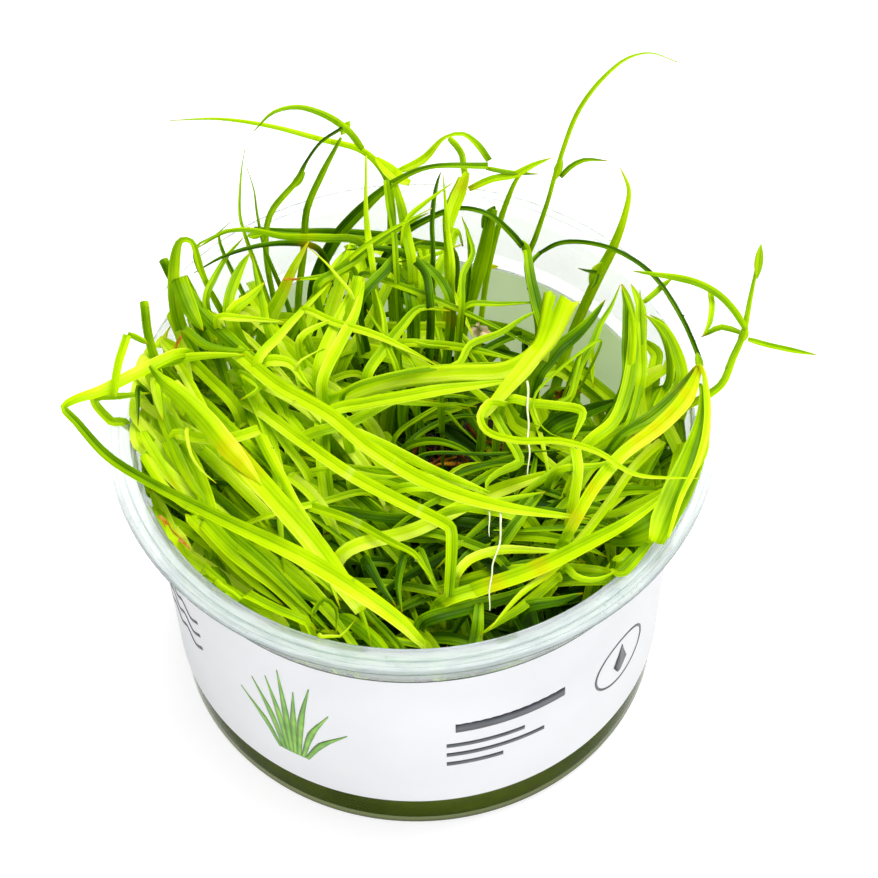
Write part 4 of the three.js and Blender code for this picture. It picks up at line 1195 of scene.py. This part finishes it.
def pull_in(path, spare):
    """Moves a path's points in to the mouth, or a little over its edge where they lie higher."""
    radius = np.hypot(path[:, 0], path[:, 1])
    over = np.where(path[:, 2] > CUP_HEIGHT + TUFT_ABOVE, TUFT_OUT, -TUFT_OFF_MOUTH)
    limit = MOUTH_RADIUS + over - spare
    path[:, :2] *= np.minimum(1, limit / np.maximum(radius, 1e-6))[:, None]
    return path


def laid_route(draw, x, y, depth):
    """A leaf that lies on the tangle through a place, straight or kinked, with its foot below."""
    middle = np.array((x, y))
    height = tangle_height(x, y) - depth
    way = flow_direction(draw, x, y, height)
    if draw.random() < 0.5:
        way = -way
    side = np.array((-way[1], way[0]))
    length = draw.uniform(*LEAF_LENGTH)
    bow = draw.uniform(-LEAF_BOW, LEAF_BOW) * length
    # Three places on a bowed line, a kink in some leaves, and two places beyond it.
    run = [middle + way * length * t + side * bow * (1 - 4 * t * t) for t in BOWED_PLACES]
    if draw.random() < KINKED:
        turn = draw.choice((-1, 1)) * draw.uniform(*KINK_TURN)
        way = math.cos(turn) * way + math.sin(turn) * side
        run.append(run[-1] + way * KINK_LENGTH)
    for _ in range(2):
        run.append(run[-1] + way * length * BEYOND_KINK)
    backward = max(0.0, y / RIM_RADIUS)
    rise = backward * draw.uniform(0, BACK_RISE) - draw.uniform(0, TIP_FALL)
    dip = draw.uniform(*LEAF_DIP)
    shares = np.linspace(-1, 1, len(run))
    heights = height + rise * np.maximum(0, shares) - dip * shares ** 2
    foot = run[0] * LAID_FOOT_INWARD
    lower = (*(run[0] - way * LAID_FOOT_BACK), 0.5 * (heights[0] + ROOT_TOP))
    return np.array([(*foot, ROOT_TOP), lower] + [(*p, z) for p, z in zip(run, heights)])


def leaf_tone_and_shade(draw, depth, route):
    """The tone of a leaf in the tangle: bright on top, and deep green below and towards the front,
    which is painted shade; lighter to the sides and the back, which is painted light.
    """
    across, back = np.mean(route[2:, :2], axis=0) / RIM_RADIUS
    # Painted light to the left, right and back, and painted shade in front and in a painted
    # shadow.
    painted_light_and_shade = max(LEFT_PAINTED_LIGHT * across, RIGHT_PAINTED_LIGHT * across)
    painted_light_and_shade += (BACK_PAINTED_LIGHT if back > 0 else FRONT_PAINTED_SHADE) * back
    column, row = picture_of(route[3])
    middle, level, wide, tall, shade = PAINTED_SHADOW
    painted_light_and_shade -= shade * math.exp(-((column - middle) / wide) ** 2 - ((row - level) / tall) ** 2)
    # Painted shade: the deeper a leaf lies, the darker its tone.
    tone = TOP_TONE - SHADE_PER_DEPTH * depth + painted_light_and_shade + draw.normal(0, TONE_SPREAD)
    chance = draw.random()
    if chance < YELLOWED:
        tone += YELLOW_SHIFT
    elif chance > 1 - DARKENED:
        tone -= DARK_SHIFT
    return float(np.clip(tone, 0.02, 1.0))


def fills_gap(path):
    """True where a leaf would cover one of the openings in the tangle."""
    column, row = picture_of(path)
    for middle, level, wide, tall, top in GAPS:
        inside = ((column - middle) / wide) ** 2 + ((row - level) / tall) ** 2 < 1
        if np.any(inside & (path[:, 2] > top)):
            return True
    return False


# The operators

class RushCupSettings(bpy.types.PropertyGroup):
    """Sizes of the cup's visual shell."""

    steps: bpy.props.IntProperty(name="Steps round", description="Faces round the cup",
                                 default=160, min=32, max=256)
    ring: bpy.props.FloatProperty(name="Ring depth", description="Depth of the flange's rings",
                                  default=0.00025, unit="LENGTH")


class RushLeafSettings(bpy.types.PropertyGroup):
    """Sizes of the leaves."""

    thickness: bpy.props.FloatProperty(name="Thickness", description="Of a living leaf",
                                       default=0.00032, unit="LENGTH")
    spacing: bpy.props.FloatProperty(name="Spacing", description="Between rings along a leaf",
                                     default=0.0012, unit="LENGTH")
    per_area: bpy.props.FloatProperty(name="Leaves per area",
                                      description="Leaves that lie on a square centimetre",
                                      default=13.0)
    seed: bpy.props.IntProperty(name="Seed", description="Of the tufts' leaves", default=7)


class RushStageSettings(bpy.types.PropertyGroup):
    """The light and the floor."""

    sky: bpy.props.FloatProperty(name="Sky", description="Strength of the white surroundings",
                                 default=0.4)
    key: bpy.props.FloatProperty(name="Key light", description="Power of the overhead softbox",
                                 default=6.5, unit="POWER")


class RUSH_OT_cup(bpy.types.Operator):
    """Turns the clear cup with its flange, rings and rolled lip"""

    bl_idname = "rush.cup"
    bl_label = "Cup"

    def execute(self, context):
        settings = context.scene.rush_cup
        ring = settings.ring / MM
        shoulder = SHOULDER_HEIGHT + SHOULDER_RISE
        top = CUP_HEIGHT
        # The base with its rounded corner, the wall, the shoulder, the flange and the rolled lip.
        profile = [
            (0, 0), (outer_wall(0) - 1.5, 0), (outer_wall(0) - 0.75, 0.2),
            (outer_wall(0) - 0.2, 0.75), (outer_wall(1.5), 1.5), (outer_wall(GEL_TOP), GEL_TOP),
            (outer_wall(SHOULDER_HEIGHT), SHOULDER_HEIGHT),
            (outer_wall(shoulder) + SHOULDER_STEP - 0.3, shoulder - 0.3),
            (outer_wall(shoulder) + SHOULDER_STEP, shoulder),
            (MOUTH_RADIUS + WALL, top - 1.1), (MOUTH_RADIUS + 1.1, top - 0.9),
            (RIM_RADIUS - 0.8, top - 0.9), (RIM_RADIUS - 0.8, top - 1.5),
            (RIM_RADIUS - 0.4, top - 1.6), (RIM_RADIUS, top - 1.2), (RIM_RADIUS, top - 0.5),
            (RIM_RADIUS - 0.15, top - 0.15), (RIM_RADIUS - 0.5, top)]
        # Two fine rings in the flange.
        for middle in (RIM_RADIUS - 1.9, MOUTH_RADIUS + 0.7):
            profile += [(middle + 0.25, top), (middle, top - ring), (middle - 0.25, top)]
        # The inside, from the mouth down to the floor.
        profile += [
            (MOUTH_RADIUS + 0.2, top), (MOUTH_RADIUS, top - 0.25),
            (inner_wall(shoulder) + SHOULDER_STEP, shoulder + 0.3),
            (inner_wall(shoulder) + SHOULDER_STEP - 0.4, shoulder),
            (inner_wall(SHOULDER_HEIGHT), SHOULDER_HEIGHT + 0.3),
            (inner_wall(GEL_TOP), GEL_TOP), (inner_wall(1.7), CUP_FLOOR + 0.7),
            (inner_wall(0) - 0.3, CUP_FLOOR + 0.2), (inner_wall(0) - 0.9, CUP_FLOOR),
            (0, CUP_FLOOR)]
        plastic = clear_wall_plastic("polished_clear_polypropylene", "#f6faf9", 1.1)
        piece = turned_shell("clear_cup", profile, settings.steps, plastic)
        piece.data.materials.append(fogged_rim_plastic())
        wetted = clear_wall_plastic("gel_wetted_polypropylene", "#eef4da", 1.03)
        piece.data.materials.append(wetted)
        # The clear wall is material 0, the milky rim is 1, and the part that the gel wets is 2.
        for face in piece.data.polygons:
            height = face.center.z / MM
            face.material_index = 2 if height < GEL_TOP else int(height > SHOULDER_HEIGHT + 0.4)
        settle(piece, "clear_plastic", "cup")
        return {"FINISHED"}


class RUSH_OT_label(bpy.types.Operator):
    """Turns the white sleeve round the wall"""

    bl_idname = "rush.label"
    bl_label = "Label"

    def execute(self, context):
        low, high = outer_wall(LABEL_BOTTOM) + LABEL_GAP, outer_wall(LABEL_TOP) + LABEL_GAP
        profile = [(low, LABEL_BOTTOM), (low + LABEL_THICKNESS, LABEL_BOTTOM),
                   (high + LABEL_THICKNESS, LABEL_TOP), (high, LABEL_TOP), (low, LABEL_BOTTOM)]
        piece = turned_shell("white_sleeve", profile, context.scene.rush_cup.steps, sleeve_film())
        piece.data.materials.append(sleeve_back())
        for face in piece.data.polygons:
            inward = face.normal.x * face.center.x + face.normal.y * face.center.y < 0
            face.material_index = int(inward)
        settle(piece, "label_film", "label")
        return {"FINISHED"}


def on_sleeve(angle, height):
    """A place on the sleeve's outside: degrees round from the front, height in millimetres."""
    around = math.radians(angle - 90)
    radius = outer_wall(height) + LABEL_GAP + LABEL_THICKNESS + INK_PROUD
    return np.array((radius * math.cos(around), radius * math.sin(around), height))


def print_stroke(strips, points, widths):
    """Adds a printed stroke whose points are degrees round from the front and heights."""
    flat = smooth_path([(angle, height, 0) for angle, height in points], 0.9)
    path = np.array([on_sleeve(angle, height) for angle, height, _ in flat])
    outward = unit(path * (1, 1, 0))
    count = len(path)
    across = np.interp(np.linspace(0, 1, count), np.linspace(0, 1, len(widths)), widths)
    strips.add(path, across, INK_PROUD, outward, section=Strips.PLAIN, ages=np.zeros(count))


class RUSH_OT_print(bpy.types.Operator):
    """Prints a plain design on the sleeve: a sprig, bars, waves and a drop in a ring"""

    bl_idname = "rush.print"
    bl_label = "Label print"

    def execute(self, context):
        # In grey, three waves left of the front, bars right of it and at the back, and the drop.
        grey = Strips()
        (left, top), (along, down) = WAVE_START, WAVE_STEPS
        for row in range(3):
            waves = [(left + along * i, top - down * row + WAVE_HEIGHT * (-1) ** i)
                     for i in range(7)]
            print_stroke(grey, waves, (0.7, 0.7))
        for angle, wide, height, thick in FRONT_BARS:
            print_stroke(grey, ((angle, height), (angle + wide / 2, height),
                                (angle + wide, height)), (thick, thick))
        start, middle, end, change, top, down = BACK_BARS
        for row in range(7):
            height = top - down * row
            print_stroke(grey, ((start, height), (middle, height),
                                (end + change * (row * 5 % 3 - 1), height)), (0.9, 0.9))
        ring = [(RING_MIDDLE[0] + RING_HALF[0] * math.cos(a),
                 RING_MIDDLE[1] + RING_HALF[1] * math.sin(a))
                for a in np.linspace(0, 2 * math.pi, 17)]
        print_stroke(grey, ring, (0.5, 0.5))
        print_stroke(grey, PRINTED_DROP, (0.2, 1.6, 3.6, 0.8))
        ink = printing_ink("dark_grey_ink", "#3b3f45", "#494e55", 400.0)
        settle(grey.make("printed_marks", ink), "label_film")
        green = Strips()
        angle, height = SPRIG_FOOT
        for lean, tall in SPRIG:
            print_stroke(green, ((angle + 0.25 * lean, height),
                                 (angle + 0.55 * lean, height + 0.55 * tall),
                                 (angle + lean, height + tall)), (0.8, 1.3, 0.2))
        ink = printing_ink("leaf_green_ink", "#5f9a2a", "#86bd3c", 300.0)
        settle(green.make("printed_sprig", ink), "label_film")
        return {"FINISHED"}


class RUSH_OT_gel(bpy.types.Operator):
    """Turns the gel in the bottom of the cup"""

    bl_idname = "rush.gel"
    bl_label = "Growth gel"

    def execute(self, context):
        wet = GEL_WETS
        profile = [(0, CUP_FLOOR - wet), (inner_wall(0) - 0.9, CUP_FLOOR - wet),
                   (inner_wall(0) - 0.3 + wet, CUP_FLOOR + 0.2), (inner_wall(1.7) + wet, 1.7),
                   (inner_wall(GEL_TOP) + wet, GEL_TOP),
                   (inner_wall(GEL_TOP) - 1.7, GEL_TOP - 0.4), (0, GEL_TOP - 0.4)]
        piece = turned_shell("olive_gel", profile, context.scene.rush_cup.steps, culture_gel())
        settle(piece, "growth_gel", "growth_gel")
        return {"FINISHED"}


class RUSH_OT_roots(bpy.types.Operator):
    """Gives the root mat its finish"""

    bl_idname = "rush.roots"
    bl_label = "Root mat"

    def execute(self, context):
        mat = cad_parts["root_mat"]
        mat.data.materials.clear()
        mat.data.materials.append(matted_roots())
        return {"FINISHED"}


class RUSH_OT_traced_leaves(bpy.types.Operator):
    """Lofts each leaf that stands for a CAD node"""

    bl_idname = "rush.traced_leaves"
    bl_label = "Traced leaves"

    def execute(self, context):
        settings = context.scene.rush_leaves
        material = bpy.data.materials["living_rush_leaf"]
        draw = np.random.default_rng(settings.seed)
        for node, width, tip, tone, route in TRACED:
            places = lifted_route(route, packed_lift(node, route))
            if places[0][2] < FOOT_BELOW:
                places = deep_foot(places)
            strips = Strips()
            section = Strips.TORN if node == "torn_wide_blade" else Strips.FINE
            add_leaf(strips, places, (width, tip, tone), settings, draw, section)
            settle(strips.make(node + "_living", material), "leaf", node)
        return {"FINISHED"}


class RUSH_OT_finer_leaves(bpy.types.Operator):
    """Lofts the leaves between the traced ones and those that branch off, as one mesh"""

    bl_idname = "rush.finer_leaves"
    bl_label = "Finer leaves"

    def execute(self, context):
        settings = context.scene.rush_leaves
        draw = np.random.default_rng(settings.seed + 1)
        strips = Strips()
        for rows, rooted in ((FINER, True), (BRANCHES, False)):
            for width, tip, tone, lift, route in rows:
                places = surface_places(route, lift)
                if rooted:
                    places = deep_foot(places)
                add_leaf(strips, places, (width, tip, tone), settings, draw)
        material = bpy.data.materials["living_rush_leaf"]
        settle(strips.make("finer_leaves", material), "leaf")
        return {"FINISHED"}


class RUSH_OT_joints(bpy.types.Operator):
    """Lofts the sheaths, joints and buds, which swell in the middle"""

    bl_idname = "rush.joints"
    bl_label = "Joints and sheaths"

    def execute(self, context):
        strips = Strips()
        for width, tone, start, end in JOINTS:
            path = smooth_path([seen(*start), seen(*end)], 0.5)
            swell = np.sin(np.linspace(0.08, math.pi - 0.08, len(path))) ** 0.9
            strips.add(path, width * swell, (0.2 * width * swell)[:, None], VIEW_BACK,
                       section=Strips.ROUND, tone=tone, ages=np.zeros(len(path)))
        material = bpy.data.materials["living_rush_leaf"]
        settle(strips.make("sheaths_and_joints", material), "leaf")
        return {"FINISHED"}


class RUSH_OT_litter(bpy.types.Operator):
    """Lofts the white roots, the dead leaves and the litter at the bottom of the hollow"""

    bl_idname = "rush.litter"
    bl_label = "Roots and dead leaves"

    def execute(self, context):
        settings = context.scene.rush_leaves
        draw = np.random.default_rng(settings.seed + 3)
        roots = Strips()
        for width, route in ROOTS:
            path = smooth_path([seen(*point) for point in route], 0.8)
            path[:, :2] += ROOT_WAVER * np.sin(np.arange(len(path)) * 0.9)[:, None]
            widths = width * np.linspace(1, 0.5, len(path))
            roots.add(path, widths, 0.5 * widths[:, None], VIEW_BACK, section=Strips.ROUND)
        settle(roots.make("white_roots", root_skin()), "leaf")
        dead = Strips()
        for width, tone, route in DEAD:
            path = keep_in_cup(smooth_path([seen(*point) for point in route], 0.6), 1.0)
            dead.add(path, leaf_widths(np.full(len(path), width), DEAD_TIP), DEAD_THICKNESS,
                     VIEW_BACK, keel=DEAD_KEEL, twist=gentle_turn(len(path), DEAD_TURN, width),
                     tone=tone)
        for _ in range(LITTER_PIECES):
            around, share = draw.uniform(0, 2 * math.pi), math.sqrt(draw.random())
            middle = np.array((WELL[0] + WELL_HALF[0] * share * math.cos(around),
                               WELL[1] + WELL_HALF[1] * share * math.sin(around),
                               draw.uniform(*LITTER_HEIGHTS)))
            way = unit(draw.normal(0, 1, 3) * (1, 1, 0.3)) * draw.uniform(*LITTER_HALF)
            bend = draw.normal(0, 1, 3)
            path = smooth_path([middle - way, middle + bend, middle + way], 0.9)
            width = draw.uniform(*LITTER_WIDTH)
            dead.add(path, leaf_widths(np.full(len(path), width), LITTER_TIP), LITTER_THICKNESS,
                     LITTER_FACE, section=Strips.PLAIN, keel=LITTER_KEEL,
                     tone=draw.uniform(*LITTER_TONE))
        settle(dead.make("dead_leaves", dead_leaf()), "root_mat")
        return {"FINISHED"}


class RUSH_OT_drops(bpy.types.Operator):
    """Sets water drops on the upper faces of the traced leaves"""

    bl_idname = "rush.drops"
    bl_label = "Water drops"

    def execute(self, context):
        draw = np.random.default_rng(context.scene.rush_leaves.seed + 4)
        places, faces = [], []
        sides = DROP_SIDES
        turns = np.linspace(0, 2 * math.pi, sides + 1)[:-1]
        for node, *_ in TRACED:
            mesh = bpy.data.objects[node + "_living"].data
            upper = [face for face in mesh.polygons
                     if face.normal.dot(Vector(VIEW_BACK)) > DROP_FACING
                     and face.center.z < DROPS_BELOW * MM and len(face.vertices) == 4]
            most = min(DROPS_PER_LEAF, len(upper) // FACES_PER_DROP)
            for pick in draw.integers(0, max(1, len(upper)), most):
                normal = np.array(upper[pick].normal)
                middle = np.array(upper[pick].center)
                side = unit(np.cross(normal, (0.3, 0.9, 0.1)))
                across = np.cross(normal, side)
                size = draw.uniform(*DROP_SIZE) * MM
                first = len(places)
                for ring, rise in DROP_RINGS:
                    for turn in turns:
                        places.append(middle + normal * size * rise + size * ring
                                      * (side * math.cos(turn) + across * math.sin(turn)))
                crown = len(places)
                places.append(middle + normal * size * DROP_CROWN)
                for ring in (first, first + sides):
                    faces += [(ring + i, ring + (i + 1) % sides, ring + sides + (i + 1) % sides,
                               ring + sides + i) for i in range(sides)]
                last = crown - sides
                faces += [(last + i, last + (i + 1) % sides, crown) for i in range(sides)]
                faces.append(tuple(first + i for i in reversed(range(sides))))
        mesh = bpy.data.meshes.new("water_drops")
        mesh.from_pydata([tuple(place) for place in places], [], faces)
        mesh.shade_smooth()
        mesh.materials.append(water())
        piece = bpy.data.objects.new("water_drops", mesh)
        context.scene.collection.objects.link(piece)
        settle(piece, "leaf")
        return {"FINISHED"}


class RUSH_OT_tufts(bpy.types.Operator):
    """Fills each tuft with its own leaves, which lie over one another in layers"""

    bl_idname = "rush.tufts"
    bl_label = "Leaf tufts"

    def execute(self, context):
        settings = context.scene.rush_leaves
        draw = np.random.default_rng(settings.seed + 2)
        material = bpy.data.materials["living_rush_leaf"]
        turn = 2 * math.pi / TUFTS
        for tuft in range(TUFTS):
            strips = Strips()
            middle = (tuft + 0.5) * turn
            reach = reach_to_wall(middle, inner_wall(ROOT_TOP))
            # In square centimetres.
            area = turn / 2 * (reach ** 2 - well_edge(middle) ** 2) / 100
            wanted = max(LEAST_LEAVES, int(settings.per_area * area))
            for _ in range(wanted):
                angle = (tuft + draw.random()) * turn
                inner, outer = well_edge(angle), reach_to_wall(angle, MOUTH_RADIUS - 1)
                distance = math.sqrt(draw.uniform(inner ** 2, outer ** 2))
                depth = UPPER_LAYERS * draw.random() ** CROWDING
                x = WELL[0] + distance * math.cos(angle)
                y = WELL[1] + distance * math.sin(angle)
                if draw.random() < UNDER_SHARE:
                    depth = draw.uniform(*UNDER_LAYERS)
                elif y > THIN_BEYOND and draw.random() < THINNED:
                    continue
                route = laid_route(draw, x, y, depth)
                width = draw.uniform(*LEAF_WIDTH)
                path = keep_in_cup(smooth_path(route, COARSE_SPACING), 0.5 * width)
                path = pull_in(path, 0.5 * width)
                if fills_gap(path):
                    continue
                reference = unit(VIEW_BACK + np.array((0, 0, FACE_UP))
                                 + draw.uniform(-FACE_SPREAD, FACE_SPREAD, 3))
                widths = leaf_widths(np.full(len(path), width), draw.uniform(*LEAF_TIP))
                strips.add(path, widths, settings.thickness / MM, reference,
                           keel=draw.uniform(*LEAF_KEEL), tone=leaf_tone_and_shade(draw, depth, route),
                           twist=gentle_turn(len(path), draw.uniform(0, LEAF_TURN),
                                             draw.uniform(0, FULL_TURN)))
            name = f"leaf_tuft_{tuft + 1}"
            settle(strips.make(name + "_living", material), "leaf", name)
        return {"FINISHED"}


class RUSH_OT_stage(bpy.types.Operator):
    """Sets the floor, the soft light and the camera"""

    bl_idname = "rush.stage"
    bl_label = "Stage"

    def execute(self, context):
        settings = context.scene.rush_stage
        deselect_all()
        bpy.ops.mesh.primitive_plane_add(size=FLOOR_SIDE, location=(0, 0, -FLOOR_UNDER))
        floor = context.object
        floor.name = "white_floor"
        floor.data.materials.append(floor_paint())
        world = bpy.data.worlds.new("white_room")
        context.scene.world = world
        world.use_nodes = True
        sky = world.node_tree.nodes["Background"]
        sky.inputs["Color"].default_value = (1, 1, 1, 1)
        sky.inputs["Strength"].default_value = settings.sky
        for name, place, size, share in LIGHTS:
            light = bpy.data.lights.new(name, "AREA")
            light.size = size
            light.energy = settings.key * share
            lamp = bpy.data.objects.new(name, light)
            lamp.location = place
            aim = Vector(LIT_POINT) - Vector(place)
            lamp.rotation_euler = aim.to_track_quat("-Z", "Y").to_euler()
            context.scene.collection.objects.link(lamp)
        lens = bpy.data.cameras.new("picture_camera")
        lens.sensor_width = SENSOR
        lens.lens = SENSOR * FOCAL_PIXELS / PICTURE_SIDE
        lens.clip_start, lens.clip_end = 0.01, 20
        camera = bpy.data.objects.new("picture_camera", lens)
        axes = np.eye(4)
        axes[:3, 0], axes[:3, 1], axes[:3, 2] = VIEW_RIGHT, VIEW_UP, VIEW_BACK
        axes[:3, 3] = VIEW_EYE * MM
        camera.matrix_world = Matrix(axes.tolist())
        context.scene.collection.objects.link(camera)
        context.scene.camera = camera
        context.scene.view_settings.view_transform = "Standard"
        return {"FINISHED"}


STEPS = ("cup", "label", "print", "gel", "roots", "traced_leaves", "finer_leaves", "joints",
         "litter", "tufts", "drops", "stage")


class RUSH_PT_panel(bpy.types.Panel):
    """The steps in their order"""

    bl_idname = "RUSH_PT_panel"
    bl_label = "Creeping rush"
    bl_space_type = "VIEW_3D"
    bl_region_type = "UI"
    bl_category = "Rush"

    def draw(self, context):
        for settings in (context.scene.rush_cup, context.scene.rush_leaves,
                         context.scene.rush_stage):
            for name in settings.__annotations__:
                self.layout.prop(settings, name)
        for step in STEPS:
            self.layout.operator("rush." + step)


CLASSES = (RushCupSettings, RushLeafSettings, RushStageSettings, RUSH_OT_cup, RUSH_OT_label,
           RUSH_OT_print, RUSH_OT_gel, RUSH_OT_roots, RUSH_OT_traced_leaves,
           RUSH_OT_finer_leaves, RUSH_OT_joints, RUSH_OT_litter, RUSH_OT_tufts, RUSH_OT_drops,
           RUSH_OT_stage, RUSH_PT_panel)


def register():
    for made in CLASSES:
        bpy.utils.register_class(made)
    bpy.types.Scene.rush_cup = bpy.props.PointerProperty(type=RushCupSettings)
    bpy.types.Scene.rush_leaves = bpy.props.PointerProperty(type=RushLeafSettings)
    bpy.types.Scene.rush_stage = bpy.props.PointerProperty(type=RushStageSettings)


def unregister():
    del bpy.types.Scene.rush_stage
    del bpy.types.Scene.rush_leaves
    del bpy.types.Scene.rush_cup
    for made in reversed(CLASSES):
        bpy.utils.unregister_class(made)


def main():
    register()
    living_leaf()
    for step in STEPS:
        getattr(bpy.ops.rush, step)()


if __name__ == "__main__":
    main()
